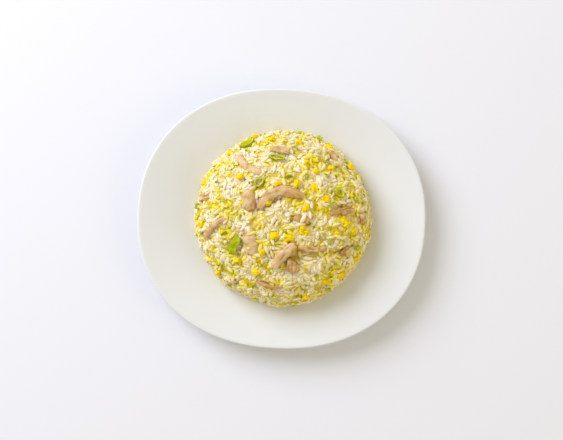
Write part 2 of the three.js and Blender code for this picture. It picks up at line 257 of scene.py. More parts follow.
class Nodes:
    """Puts shader nodes into a tree and links them."""

    def __init__(self, tree: bpy.types.NodeTree) -> None:
        """Starts on a tree, which is emptied."""
        self.tree = tree
        tree.nodes.clear()

    def put(self, socket: Socket, value: object) -> None:
        """Links an input from another socket, or sets it to a value.

        Args:
            socket: The input.
            value: The socket or the value.
        """
        if isinstance(value, Socket):
            self.tree.links.new(value, socket)
        else:
            socket.default_value = value

    def add(self, kind: str, inputs: Optional[dict] = None, **settings: object) -> bpy.types.Node:
        """Adds a node.

        Args:
            kind: The node's type, without the leading ShaderNode.
            inputs: What goes into its sockets by name or number: a socket to link from, or a value.
            settings: Its other settings by name.

        Returns:
            The node.
        """
        node = self.tree.nodes.new(kind if kind.startswith("Node") else "ShaderNode" + kind)
        for name, value in settings.items():
            setattr(node, name, value)
        for name, value in (inputs or {}).items():
            self.put(node.inputs[name], value)
        return node

    def mix(self, share: object, first: object, second: object) -> Socket:
        """Mixes two colours.

        Args:
            share: How much of the second colour shows, a socket or a number.
            first: A colour or a socket.
            second: A colour or a socket.

        Returns:
            The mixed colour.
        """
        colours = [c if isinstance(c, Socket) else (*c, 1) for c in (first, second)]
        inputs = dict(zip((0, 6, 7), (share, *colours)))
        return self.add("Mix", inputs, data_type="RGBA", clamp_result=True).outputs[2]

    def sums(self, operation: str, *values: object, **settings: object) -> Socket:
        """Does a sum on numbers or sockets and gives the result."""
        return self.add("Math", dict(enumerate(values)), operation=operation, **settings).outputs[0]

    def noise(self, place: Socket, pace: object, detail: float) -> Socket:
        """Gives smooth noise at a place, with a pace of so many blots to the metre, a socket or a number."""
        return self.add("TexNoise", {"Vector": place, "Scale": pace, "Detail": detail}).outputs[0]

    def place(self) -> Socket:
        """Gives the place on the object, in metres."""
        return self.add("TexCoord").outputs["Object"]

    def bump(self, height: Socket, depth: float, strength: float) -> Socket:
        """Gives the normal of a relief, from its height and how deep it is, in metres."""
        return self.add("Bump", {"Height": height, "Distance": depth, "Strength": strength}).outputs[0]


def finished(name: str, dress: Callable[[Nodes], dict]) -> Material:
    """Makes a material with one shader.

    Args:
        name: Name of the material.
        dress: Puts its other nodes, and gives what goes into the shader's sockets by name.

    Returns:
        The material.
    """
    made = bpy.data.materials.new(name)
    made.use_nodes = True
    nodes = Nodes(made.node_tree)
    shader = nodes.add("BsdfPrincipled", dress(nodes))
    nodes.add("OutputMaterial", {"Surface": shader.outputs[0]})
    return made


class Effect:
    """An effect that several materials use: a node group, built once, that each gives its own values."""

    NAME: ClassVar[str]
    INPUTS: ClassVar[dict[str, float]]
    OUTPUTS: ClassVar[tuple[str, ...]]

    @classmethod
    def fill(cls, nodes: Nodes, given: Sequence[Socket]) -> Sequence[Socket]:
        """Puts nodes into the group, and gives its outputs from its inputs, each in their order."""
        raise NotImplementedError

    @classmethod
    def group(cls) -> bpy.types.NodeTree:
        """Gives the node group, and builds it the first time.

        Returns:
            The group.
        """
        if cls.NAME in bpy.data.node_groups:
            return bpy.data.node_groups[cls.NAME]
        tree = bpy.data.node_groups.new(cls.NAME, "ShaderNodeTree")
        for name, value in cls.INPUTS.items():
            socket = tree.interface.new_socket(name, in_out="INPUT", socket_type="NodeSocketFloat")
            socket.default_value = value
        for name in cls.OUTPUTS:
            tree.interface.new_socket(name, in_out="OUTPUT", socket_type="NodeSocketFloat")
        nodes = Nodes(tree)
        start = nodes.add("NodeGroupInput")
        given = [start.outputs[name] for name in cls.INPUTS]
        nodes.add("NodeGroupOutput", dict(zip(cls.OUTPUTS, cls.fill(nodes, given))))
        return tree

    @classmethod
    def on(cls, nodes: Nodes, *values: float) -> list[Socket]:
        """Places the group in a material, with values for its inputs, and gives its outputs."""
        node = nodes.add("Group", dict(zip(cls.INPUTS, values)), node_tree=cls.group())
        return [node.outputs[name] for name in cls.OUTPUTS]


class Mottle(Effect):
    """Blotches of two sizes, as a mask from 0 to 1: the uneven colour of anything cooked.

    Size is how large the blotches are, in metres, and contrast how sharply they stand out.
    """

    NAME = "mottle"
    INPUTS = {"Size": 0.004, "Contrast": 2.0}
    OUTPUTS = ("Mask",)
    FINER = 3.7
    FINE_SHARE = 0.4

    @classmethod
    def fill(cls, nodes: Nodes, given: Sequence[Socket]) -> Sequence[Socket]:
        """Mixes coarse and fine noise, and spreads it round the middle.

        Args:
            nodes: The group's nodes.
            given: Its inputs, size and contrast.

        Returns:
            The mask.
        """
        size, contrast = given
        place = nodes.place()
        pace = nodes.sums("DIVIDE", 1.0, size)
        coarse = nodes.noise(place, pace, 2.0)
        fine = nodes.noise(place, nodes.sums("MULTIPLY", pace, cls.FINER), 2.0)
        rest = nodes.sums("MULTIPLY", coarse, 1 - cls.FINE_SHARE)
        both = nodes.sums("MULTIPLY_ADD", fine, cls.FINE_SHARE, rest)
        away = nodes.sums("SUBTRACT", both, 0.5)
        return [nodes.sums("MULTIPLY_ADD", away, contrast, 0.5, use_clamp=True)]


class Skin(Effect):
    """The finest relief of a moist surface, as a height, and the wet and dry patches on it, as a roughness.

    Size is how large the relief's grain is, in metres; wet and dry are its roughness where it is
    wettest and driest.
    """

    NAME = "moist skin"
    INPUTS = {"Size": 0.0008, "Wet": 0.2, "Dry": 0.5}
    OUTPUTS = ("Height", "Roughness")
    PATCH_PACE = 0.3

    @classmethod
    def fill(cls, nodes: Nodes, given: Sequence[Socket]) -> Sequence[Socket]:
        """Puts noise for the height, and wider noise for the patches.

        Args:
            nodes: The group's nodes.
            given: Its inputs, size, wet and dry.

        Returns:
            The height and the roughness.
        """
        size, wet, dry = given
        place = nodes.place()
        pace = nodes.sums("DIVIDE", 1.0, size)
        patches = nodes.noise(place, nodes.sums("MULTIPLY", pace, cls.PATCH_PACE), 1.0)
        rough = nodes.add("MapRange", {"Value": patches, 1: 0.35, 2: 0.65, 3: wet, 4: dry})
        return nodes.noise(place, pace, 3.0), rough.outputs[0]


@dataclass(frozen=True)
class Moist:
    """Cooked food: a colour that wanders from one tone to another, translucent flesh and a wet skin.

    The points of the piece may carry the mark tint, which brings in the third tone.
    """

    name: str
    tone: Colour
    other_tone: Colour
    tint_tone: Optional[Colour] = None
    blotch: float = 4 * MM
    contrast: float = 2.0
    skin: float = 0.8 * MM
    skin_depth: float = 0.05 * MM
    wet: float = 0.25
    dry: float = 0.5
    glow: float = 0.3
    glow_depth: float = 1.5 * MM
    glow_radius: Colour = (1.0, 0.8, 0.4)
    coat: float = 0.06
    density: float = 1.36

    def dress(self, nodes: Nodes) -> dict:
        """Puts the nodes of the colour and the skin.

        Args:
            nodes: The material's nodes.

        Returns:
            What goes into the shader's sockets, by name.
        """
        colour = nodes.mix(*Mottle.on(nodes, self.blotch, self.contrast), self.tone, self.other_tone)
        if self.tint_tone:
            tint = nodes.add("Attribute", attribute_name="tint", attribute_type="GEOMETRY").outputs["Fac"]
            colour = nodes.mix(tint, colour, self.tint_tone)
        height, roughness = Skin.on(nodes, self.skin, self.wet, self.dry)
        return {
            "Base Color": colour,
            "Roughness": roughness,
            "Normal": nodes.bump(height, self.skin_depth, 0.6),
            "IOR": self.density,
            "Subsurface Weight": self.glow,
            "Subsurface Scale": self.glow_depth,
            "Subsurface Radius": self.glow_radius,
            "Coat Weight": self.coat,
            "Coat Roughness": 0.15,
        }

    def material(self) -> Material:
        """Makes the material."""
        return finished(self.name, self.dress)


@dataclass(frozen=True)
class Glaze:
    """Off-white glazed porcelain, bare and matt where the foot stands."""

    tone: Colour = linear(233, 235, 232)
    thin_tone: Colour = linear(231, 233, 229)
    bare_tone: Colour = linear(222, 216, 204)
    bare_height: float = 0.35 * MM
    gloss: float = 0.22
    bare_roughness: float = 0.75
    ripple: float = 14 * MM
    ripple_depth: float = 0.08 * MM

    def dress(self, nodes: Nodes) -> dict:
        """Puts the nodes of the glaze and the bare foot.

        Args:
            nodes: The material's nodes.

        Returns:
            What goes into the shader's sockets, by name.
        """
        place = nodes.place()
        height = nodes.add("SeparateXYZ", {0: place}).outputs["Z"]
        bare = nodes.sums("LESS_THAN", height, self.bare_height)
        colour = nodes.mix(*Mottle.on(nodes, 30 * MM, 1.2), self.tone, self.thin_tone)
        rough = nodes.add("MapRange", {"Value": bare, 3: self.gloss, 4: self.bare_roughness})
        return {
            "Base Color": nodes.mix(bare, colour, self.bare_tone),
            "Roughness": rough.outputs[0],
            "Normal": nodes.bump(nodes.noise(place, 1 / self.ripple, 1.0), self.ripple_depth, 0.5),
            "Coat Weight": 0.15,
            "Coat Roughness": 0.08,
        }

    def material(self) -> Material:
        """Makes the material."""
        return finished("porcelain glaze", self.dress)


# The plate
# ---------


@dataclass(frozen=True)
class Plate:
    """A slightly square coupe plate. Stations are shares of the way from its middle to the rim."""

    length: float
    width: float
    height: float
    squareness: float = 2.19
    floor: float = 8
    wall: float = 4.5
    lip_radius: float = 1.5
    recess: float = 2.5
    foot_inner: float = 0.445
    foot_outer: float = 0.495
    foot_rounding: float = 0.008
    floor_edge: float = 0.42
    straight_flank: float = 0.65
    middle_gap: float = 0.02
    sides: int = 288

    @classmethod
    def of_frame(cls) -> "Plate":
        """Gives the plate at the size of its solid."""
        low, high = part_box("plate")
        return cls(*(round((above - below) / MM, 1) for below, above in zip(low, high)))

    @property
    def mean_radius(self) -> float:
        """The radius that turns lengths along the section into stations."""
        return (self.length + self.width) / 4

    @property
    def lip_station(self) -> float:
        """Where the middle of the rounded lip is."""
        return 1 - self.lip_radius / self.mean_radius

    def rim_radius(self, angle: np.ndarray) -> np.ndarray:
        """Gives how far the rim is from the middle of the plate.

        Args:
            angle: Directions, as angles from +X.

        Returns:
            The distance in each direction.
        """
        x = np.abs(np.cos(angle)) / (self.length / 2)
        y = np.abs(np.sin(angle)) / (self.width / 2)
        return (x**self.squareness + y**self.squareness) ** (-1 / self.squareness)

    def rise(self, station: np.ndarray) -> np.ndarray:
        """Gives how far the upper face is above the plate's floor: a flat floor, a bend, a straight flank.

        Args:
            station: The stations.

        Returns:
            The rise at each.
        """
        bend = self.straight_flank - self.floor_edge
        slope = (self.height - self.floor) / (bend / 2 + self.lip_station - self.straight_flank)
        bent = np.clip(station - self.floor_edge, 0, bend)
        return slope * (bent**2 / (2 * bend) + np.maximum(0, station - self.straight_flank))

    def seat(self, x: np.ndarray, y: np.ndarray) -> np.ndarray:
        """Gives the height of the upper face at places seen from above."""
        return self.floor + self.rise(np.hypot(x, y) / self.rim_radius(np.arctan2(y, x)))

    def section(self) -> Points:
        """Works out the section, from the middle of the underside to the middle of the upper face.

        Returns:
            Its points, as station and height.
        """
        soft = self.foot_rounding
        inner, outer, lip = self.foot_inner, self.foot_outer, self.lip_station
        drop = soft * self.mean_radius
        sine, cosine = (f(np.radians(np.linspace(0, 90, 5))) for f in (np.sin, np.cos))
        lip_turn = np.radians(np.linspace(-75, 75, 11))
        under = np.linspace(outer + 2 * soft, lip, 24)
        over = np.linspace(lip, self.middle_gap, 60)
        thickness = self.wall + (2 * self.lip_radius - self.wall) * ((under - outer) / (lip - outer))
        parts = (
            (np.linspace(self.middle_gap, inner - 4 * soft, 12), np.full(12, self.recess)),
            (inner - 2 * soft + soft * sine, self.recess - drop * (1 - cosine) * 0.9),
            (inner + soft * (1 - cosine), drop * (1 - sine)),
            (outer - soft * (1 - sine), drop * (1 - cosine)),
            (under, self.floor + self.rise(under) - thickness),
            (
                lip + self.lip_radius * np.cos(lip_turn) / self.mean_radius,
                self.height - self.lip_radius * (1 - np.sin(lip_turn)),
            ),
            (over, self.floor + self.rise(over)),
        )
        return np.concatenate([np.stack(part, axis=-1) for part in parts])

    def build(self, finish: Glaze) -> None:
        """Makes the plate.

        Args:
            finish: Its glaze.
        """
        section, angle = self.section(), around(self.sides)
        reach = section[:, :1] * self.rim_radius(angle)
        points = listed(reach * np.cos(angle), reach * np.sin(angle), section[:, 1:])
        points = np.concatenate([points, [[0, 0, self.recess], [0, 0, self.floor]]])
        draft = Draft().add(points, turned_faces(len(section), self.sides))
        draft.piece("porcelain_plate", finish.material(), "glaze", "plate")


# The heap's form, and how a piece lies on it
# -------------------------------------------


@dataclass(frozen=True)
class Lying:
    """How a piece lies on the heap: where its middle is, seen from above, which way it points there, how far
    it turns from end to end, in degrees, its size, how far its middle is above the heap's core, and how much
    browning it shows, from 0 to 1, which for the strips also paints shade."""

    at: tuple[float, float]
    heading: float
    length: float
    width: float
    thickness: float
    bend: float = 0
    lift: float = 0
    brown: float = 0


@dataclass(frozen=True)
class Spot:
    """A soft-edged oval place of the heap, seen from above: its middle, the way its length points, in
    degrees, its length and width, and how strong it is in the middle: a depth in millimetres, or a share of
    yellow, which stands for yolk and also for painted light and shade."""

    at: tuple[float, float]
    heading: float
    length: float
    width: float
    strength: float

    def at_points(self, points: Points) -> np.ndarray:
        """Gives how strong it is at each point.

        Args:
            points: The points, in the heap's frame.

        Returns:
            Its strength at each.
        """
        heading = math.radians(self.heading)
        x, y = points[..., 0] - self.at[0], points[..., 1] - self.at[1]
        along = (x * math.cos(heading) + y * math.sin(heading)) / self.length
        across = (y * math.cos(heading) - x * math.sin(heading)) / self.width
        return self.strength * np.exp(-6 * (along**2 + across**2))


def spotted(spots: Iterable[Spot], points: Points) -> np.ndarray:
    """Gives how strong several spots are together at each point."""
    return sum(spot.at_points(points) for spot in spots)


# The last value of each strip is how much browning it shows: partly its own searing, partly painted shade,
# more for strips in the hollows and on the heap's shaded right side.
PORK = (
    Lying((-6, 21), 19, 42, 8.2, 6, bend=-106, lift=1.7, brown=0.2),
    Lying((-28.4, 13.1), -77, 17.5, 10.2, 6.4, bend=14, lift=1.1, brown=0.15),
    Lying((-33, 41.9), -36, 30.4, 6.6, 4.4, bend=70, lift=0.8, brown=0),
    Lying((-5.2, 56.4), -5, 15.5, 6.2, 5, bend=-16, lift=1, brown=0.15),
    Lying((-66.1, 14.8), 23, 17.8, 5.6, 4.4, lift=0.7, brown=0.15),
    Lying((-57.8, -9.7), 48, 27, 5.8, 4.8, bend=-34, lift=1.2, brown=0.1),
    Lying((-25.7, -20.3), -76, 22.5, 11.6, 5.4, bend=-16, lift=0.6, brown=0.15),
    Lying((0.6, -29.9), 52, 27, 7.6, 5.8, bend=-47, lift=1.6, brown=0.05),
    Lying((25.3, -24.2), 1, 23.2, 5.6, 4.8, bend=20, lift=1.1, brown=0.3),
    Lying((9, -39), -85, 12.2, 8, 6, lift=0.9, brown=0.45),
    Lying((48.7, 8.4), 13, 22.6, 5, 4.2, bend=-13, lift=0.6, brown=0.5),
    Lying((65.9, 2.7), -78, 9, 6, 4.8, lift=0.9, brown=0.4),
    Lying((52.2, -24), -116, 10, 5.6, 4.6, lift=0.8, brown=0.75),
    Lying((15.3, -0.2), -15, 12.5, 6, 4.6, lift=0.7, brown=0.45),
    Lying((38.8, 54), -36, 11, 4.8, 4.4, lift=0.7, brown=0.35),
    Lying((-1.8, -57), 3, 35.6, 3.6, 3.6, bend=55, lift=0.3, brown=0.4),
    Lying((-42.1, -55.3), 19, 16.2, 4.6, 4, lift=0.5, brown=0.3),
)

EGG_LIFT = 0.4
EGG = tuple(
    Lying(at, *turn_and_size, lift=EGG_LIFT)
    for at, *turn_and_size in (
        ((-58, 39.6), 60, 9, 7.5, 6.5), ((-57, 4.2), 30, 9.5, 8, 6), ((17.3, 46.2), 80, 10, 6.5, 6),
        ((25.6, 26), 125, 10, 6.6, 6.4), ((34, 18), 5, 11, 8, 7), ((18.5, 8.6), 30, 10, 7.4, 6.6),
        ((-6.2, -13.8), -10, 10.5, 8, 6.6), ((5.2, -15.6), 80, 9.5, 7.4, 6.8),
        ((16.6, -9.4), 60, 11, 9.4, 7.4), ((50, -0.4), 10, 11, 8, 7), ((45, -10), -30, 9.5, 7, 6.4),
        ((58, -7.4), 30, 10, 8, 6.6), ((70.4, -11.4), 70, 11, 8.4, 7), ((49.4, -46), 60, 11, 8.6, 6.6),
        ((37, -50.6), 20, 9, 7, 6),
    )
)

ONION_RINGS = (
    Lying((-33, 61), 24, 13, 8, 3.2, lift=0.9),
    Lying((-7.4, 49.8), -8, 13, 5, 3, lift=0.9),
    Lying((-21, 28.6), 40, 9, 7, 3, lift=0.9),
    Lying((45.2, 23), -20, 8.6, 7, 3.2, lift=0.9),
)

ONION_LEAVES = (Lying((-38.6, -23), 58, 16, 12, 1.3, lift=2),)

# Crumbs and snips that have a place of their own: where they are and which way they point.
EGG_CRUMBS = (
    (-37, 32, 40), (-36, -36, 10), (-52, -48, 70), (-13, 12, 30), (10, 63, -10), (-5, 28, 20), (10, 29, 60),
    (-27, 67, 50), (-67, 26, 80), (37, 43, 30), (36, 61, -40), (54, 46, -50), (-12, 65, 0), (-16, -29, 90),
    (25, 39, 0), (63, -30, 40), (-46, 52, 50), (-66, -8, 90), (22, -64, 10), (-20, -45, 0),
)
ONION_SNIPS = (
    (-31, 54, -30), (11, 71, -5), (28, 68, -30), (8, 58, -40), (39, 13, 80), (58, 20, 70), (-3, -20, 0),
    (38, -17, 85), (62, -21, 60), (-22, -55, 60), (40, -57, 20), (-71.5, 7, 80), (-35.5, -0.5, 85),
    (33, 49, 40), (-5, -65, 60), (-48, -14, 45), (-48, -41, 80), (3, 35, 10), (-54, 27, -30),
)


def raised(pieces: Iterable[Lying], longer: float, wider: float, height: float) -> tuple[Spot, ...]:
    """Gives the places round pieces where the rice stands higher, by how far they reach beyond the pieces."""
    return tuple(Spot(p.at, p.heading, p.length + longer, p.width + wider, -height) for p in pieces)


# Where the surface of the heap is sunk between the larger pieces, and, where the depth is negative, raised.
# It stands higher round the curds and round the straighter strips.
HOLLOWS = (
    Spot((-14, 11), 28, 40, 9, 2.6), Spot((9.5, -37.5), 42, 22, 15, 7), Spot((-57, -14), 45, 22, 7, 2.6),
    Spot((-4, 51), -5, 24, 8, 3), Spot((-23, 27), 55, 14, 7, 2.6), Spot((-35.5, -23), 80, 22, 8, 3),
    Spot((-42, -30), 10, 15, 7, 2.4), Spot((-20, -53), -25, 18, 7, 2.8), Spot((-2, -59), -3, 26, 6, 2.8),
    Spot((16, -58), 8, 20, 6, 2.4), Spot((8, -1), 0, 8, 8, 3), Spot((20.5, -3), -20, 9, 7, 3),
    Spot((27, -8), 0, 6, 5, 2.4), Spot((52, 11), 10, 15, 10, 4), Spot((49.5, -25.5), 20, 14, 9, 3.4),
    Spot((60, -21), 60, 9, 9, 3), Spot((36, -18), 90, 10, 7, 3), Spot((39.5, 24), 0, 10, 8, 3),
    Spot((27, 18), 0, 6, 6, 2), Spot((63, 3), 100, 11, 7, 2.4), Spot((-34.5, 31), 0, 7, 8, 3),
    Spot((7, 57.5), 60, 7, 6, 2.4), Spot((37, 53), -35, 12, 8, 2.4), Spot((39, -55), 10, 10, 7, 2.4),
    Spot((-33.5, -51), 80, 10, 7, 2.2), Spot((-4, -16), 20, 9, 7, 1.8), Spot((6.6, -19), 0, 9, 5, 2),
    Spot((-67, 14), 25, 16, 8, 2.4), Spot((43, 32), 90, 9, 6, 2), Spot((-9, -35), 55, 20, 5, 2.2),
    Spot((20, -27), 0, 18, 5, 2.4), Spot((-48, 21), 60, 50, 34, -1.6), Spot((-9, 2), 20, 30, 22, -1.6),
    Spot((-50, -19), 60, 16, 12, -1.4), Spot((42, -5), 60, 16, 12, -1.4), Spot((31, 32), 70, 20, 9, -1.2),
    Spot((-16, -27), 80, 14, 8, -1.2), Spot((25, -39), 40, 24, 12, -1.8), Spot((12, 38), 10, 24, 14, -1.2),
    Spot((-30, -59), 20, 14, 8, -1.2), Spot((-33, 0), 70, 9, 7, -1),
    *raised(EGG, longer=4, wider=4, height=1.3),
    *raised([p for p in PORK if abs(p.bend) < 60], longer=4, wider=6, height=1.3),
)

# Where yolk has run into the rice, and, where it is negative, where it hasn't. These spots also paint light
# and shade: broadly, the rice is kept paler towards the lit upper left and made yellower towards the shaded
# right.
YOLK_LIGHT_AND_SHADE = (
    Spot((-34, 47), 30, 40, 26, -1.2), Spot((-50, 15), 70, 44, 24, -0.9), Spot((-9, 1), 10, 34, 22, -1.5),
    Spot((19, -40), 30, 26, 18, -1.1), Spot((-3, 43), 0, 34, 18, -0.7), Spot((-26, -44), 40, 26, 16, -0.6),
    Spot((31, 21), 0, 34, 12, 1.6), Spot((16, 10), 60, 14, 11, 1.1), Spot((15, -9), 20, 16, 12, 1),
    Spot((-2, -15), 0, 22, 8, 0.5), Spot((52, -3), -10, 22, 20, 1.4), Spot((70, -9), 80, 16, 12, 1.2),
    Spot((42, -46), 30, 26, 16, 1.1), Spot((-61, 7), 30, 18, 14, 1.1), Spot((-38, -28), 10, 24, 12, 1),
    Spot((20, 49), 0, 22, 12, 0.9), Spot((8, 29), 0, 16, 9, 0.9), Spot((55, 10), 90, 70, 40, 0.5),
    Spot((30, 2), 90, 26, 16, 0.8), Spot((1, -6), 0, 18, 9, -1.6),
)


@dataclass(frozen=True)
class Heap:
    """The heap's core in its own frame: (r / radius) ** 2 + (z / height) ** shoulder = 1.

    Each point of the core is named by a unit direction.
    """

    radius: float = 74.3
    height: float = 52
    shoulder: float = 3
    middle: tuple[float, float, float] = (1.3, 0.3, 8.35)
    hollows: Sequence[Spot] = HOLLOWS
    hollow_share: float = 1.45
    unevenness: Reliefs = ((38, 0.4), (12, 0.45), (7, 0.25))

    def placed(self, points: Points) -> Points:
        """Moves points from the heap's frame to the plate's."""
        return points + np.array(self.middle)

    def direction(self, points: Points) -> Points:
        """Gives the unit direction that names the place of the core below each point."""
        upward = signed_power(points[..., 2:] / self.height, self.shoulder / 2)
        return unit(np.concatenate([points[..., :2] / self.radius, upward], axis=-1))

    def point(self, direction: Points) -> Points:
        """Gives the point of the core that each direction names."""
        upward = self.height * signed_power(direction[..., 2:], 2 / self.shoulder)
        return np.concatenate([direction[..., :2] * self.radius, upward], axis=-1)

    def normal(self, direction: Points) -> Points:
        """Gives the core's outward normal in each direction."""
        upward = self.shoulder / 2 * signed_power(direction[..., 2:], 2 - 2 / self.shoulder) / self.height
        return unit(np.concatenate([direction[..., :2] / self.radius, upward], axis=-1))

    def even_heights(self, count: int, lowest: float) -> np.ndarray:
        """Gives the upward shares of directions whose places are spread evenly over the core, top down.

        Args:
            count: How many places there are.
            lowest: The upward share of the lowest place.

        Returns:
            The shares, from 1 down to the lowest.
        """
        upward = np.linspace(lowest, 1, 2000)
        steep = np.sqrt(1 - upward**2) * self.height * 2 / self.shoulder * upward ** (2 / self.shoulder - 1)
        area = np.cumsum(np.hypot(self.radius * upward, steep))
        return np.interp((np.arange(count) + 0.5) / count, (area[-1] - area[::-1]) / area[-1], upward[::-1])

    def climb(self, points: Points) -> Points:
        """Gives how far each point is above the core."""
        direction = self.direction(points)
        return ((points - self.point(direction)) * self.normal(direction)).sum(axis=-1)

    def sunk(self, points: Points) -> np.ndarray:
        """Gives how far the rice's surface is sunk at each point."""
        return self.hollow_share * spotted(self.hollows, points) - relief(self.unevenness, points)

    def lay(self, points: Points, piece: Lying) -> Points:
        """Lays points, made flat round the origin with the piece's length along X, on the core.

        Args:
            points: Points of the flat piece.
            piece: How it lies.

        Returns:
            The points in the heap's frame.
        """
        below = np.array([*piece.at, 0]) / self.radius
        below[2] = math.sqrt(max(0, 1 - below @ below))
        spot, up = self.point(below), self.normal(below)
        heading = math.radians(piece.heading)
        along = np.array([math.cos(heading), math.sin(heading), 0])
        along[2] = -(up @ along) / max(up[2], 0.05)
        along = unit(along)
        a, b = points[:, 0], points[:, 1]
        if piece.bend:
            radius = piece.length / math.radians(piece.bend)
            a, b = (radius - b) * np.sin(a / radius), radius - (radius - b) * np.cos(a / radius)
        direction = self.direction(spot + a[:, None] * along + b[:, None] * np.cross(up, along))
        return self.point(direction) + self.normal(direction) * (points[:, 2:] + piece.lift)


# What lies in the heap
# ---------------------


@dataclass(frozen=True)
class Beads:
    """Balls that stand for pieces while the rice settles round them."""

    points: Points
    radius: np.ndarray

    @classmethod
    def joined(cls, several: Iterable["Beads"]) -> "Beads":
        """Puts several sets of beads into one."""
        return cls(*(np.concatenate(parts) for parts in zip(*((b.points, b.radius) for b in several))))


@dataclass(frozen=True)
class Sort:
    """One sort of piece that lies in the heap."""

    heap: Heap

    def strung(self, piece: Lying, flat: Points, radius: Grid) -> Beads:
        """Lays a piece's beads on the heap, from their flat middles and their radii, or one for all."""
        return Beads(self.heap.lay(flat, piece), np.broadcast_to(radius, len(flat)))

    def build_each(
        self, rows: Sequence[Lying], make: Callable[..., Made], finish: Material, slot: str, *names: str
    ) -> None:
        """Makes pieces, each in place of its solid.

        Args:
            rows: How they lie.
            make: Gives a piece's flat points, its faces and its marks, from how it lies and its number.
            finish: Their finish.
            slot: The material slot that it stands for.
            names: What the pieces and the frame's solids are called, before their number.
        """
        for number, row in enumerate(rows):
            flat, faces, marks = make(row, number)
            piece, node = (f"{name}_{number + 1:02d}" for name in names)
            draft = Draft().add(self.heap.placed(self.heap.lay(flat, row)), faces, **marks)
            draft.piece(piece, finish, slot, node)


@dataclass(frozen=True)
class PorkStrips(Sort):
    """Blunt strips of cooked pork, with the meat's fibres along them."""

    rows: Sequence[Lying] = PORK
    rings: int = 90
    sides: int = 44
    squareness: float = 0.85
    bluntness: float = 0.225
    swell: float = 0.12
    lump: float = 0.5
    knob: float = 0.25
    slant: float = 0.3
    fibre: float = 0.15
    fibre_width: float = 1.5
    fibre_stretch: float = 8
    split: float = 0.5
    lowest: float = -1.1
    highest: float = 0.9
    end_brown: float = 0.4
    bead_share: float = 0.54
    bead_rise: float = 0.2
    # The tint tone is the browning of searing and also the painted shade on the strips' undersides and in
    # their splits.
    finish: Moist = Moist(
        "pork", tone=linear(233, 206, 160), other_tone=linear(216, 180, 114),
        tint_tone=linear(178, 122, 34), blotch=4 * MM, contrast=3.2, skin=0.6 * MM, skin_depth=0.08 * MM,
        glow=0.35, glow_radius=(1.0, 0.55, 0.35), wet=0.3, dry=0.55,
    )

    def strip(self, piece: Lying, number: int) -> Made:
        """Makes a strip.

        Args:
            piece: How the strip lies.
            number: Its number, from 0.

        Returns:
            Its flat points, its faces and how much browning it shows, with painted shade on its underside and
            in its splits.
        """
        end, turn = stations(self.rings), around(self.sides)
        girth = (1 - np.abs(end) ** (2 / 0.7)) ** self.bluntness
        swell = 1 + self.swell * np.sin(2.6 * end + 1.9 * number)
        y = signed_power(np.cos(turn), self.squareness) * girth * swell * piece.width / 2
        z = signed_power(np.sin(turn), self.squareness) * girth * swell * piece.thickness / 2
        x = end * piece.length / 2 + self.slant * math.sin(5 * number + 1) * y * np.abs(end) ** 3
        flat = listed(x, y, z)
        outward = unit(flat * [0.15, 1 / piece.width, 1 / piece.thickness])
        along = flat / [self.fibre_stretch, 1, 1]
        lumps = Waves(100 + number, 8)(flat) * self.lump + Waves(150 + number, 3.6)(flat) * self.knob
        fibres = Waves(200 + number, self.fibre_width)(along)
        fine = Waves(300 + number, self.fibre_width / 2)(along)
        splits = np.clip(Waves(250 + number, 2.6)(along) - 0.9, 0, 1.5)
        # Painted shade: a strip's underside is pushed towards the dark tint tone, as it lies in shade.
        under = np.clip(0.25 - flat[:, 2] / piece.thickness, 0, 1)
        shaded_under_and_ends = under + np.clip(np.abs(flat[:, 0]) / piece.length - 0.42, 0, 1)
        blotches = 0.16 * Waves(350 + number, 7)(flat)
        # Searing and painted shade together: the strip's own blotches and fibres, plus a darker tone on its
        # underside and in the splits between fibres, where shade falls, and towards its ends.
        brown = piece.brown + 0.7 * shaded_under_and_ends + blotches + 0.08 * fibres + 0.05 * fine + 0.35 * splits
        rough = lumps + self.fibre * (fibres + 0.4 * fine) - self.split * splits
        flat = flat + outward * np.clip(rough, self.lowest, self.highest)[:, None]
        tint = np.append(np.clip(brown, 0, 1), [self.end_brown] * 2)
        return capped(flat, self.sides), turned_faces(self.rings, self.sides, flipped=True), {"tint": tint}

    def beads(self) -> Beads:
        """Gives the beads that stand for the strips.

        Returns:
            The beads in the heap's frame.
        """
        rng = np.random.default_rng(60)
        made = []
        for piece in self.rows:
            across = max(0, piece.width - piece.thickness) / 2
            x = np.linspace(-0.5, 0.5, max(3, round(piece.length / 2))) * (piece.length - piece.thickness)
            y = np.linspace(-across, across, 3 if across > 0.4 else 1)[:, None]
            flat = listed(x, y, 0)
            share = self.bead_share + self.bead_rise * piece.lift + rng.uniform(-0.12, 0.12, len(flat))
            made.append(self.strung(piece, flat, piece.thickness / 2 * share))
        return Beads.joined(made)

    def build(self) -> None:
        """Makes the strips."""
        self.build_each(self.rows, self.strip, self.finish.material(), "pork", "pork", "pork_strip")


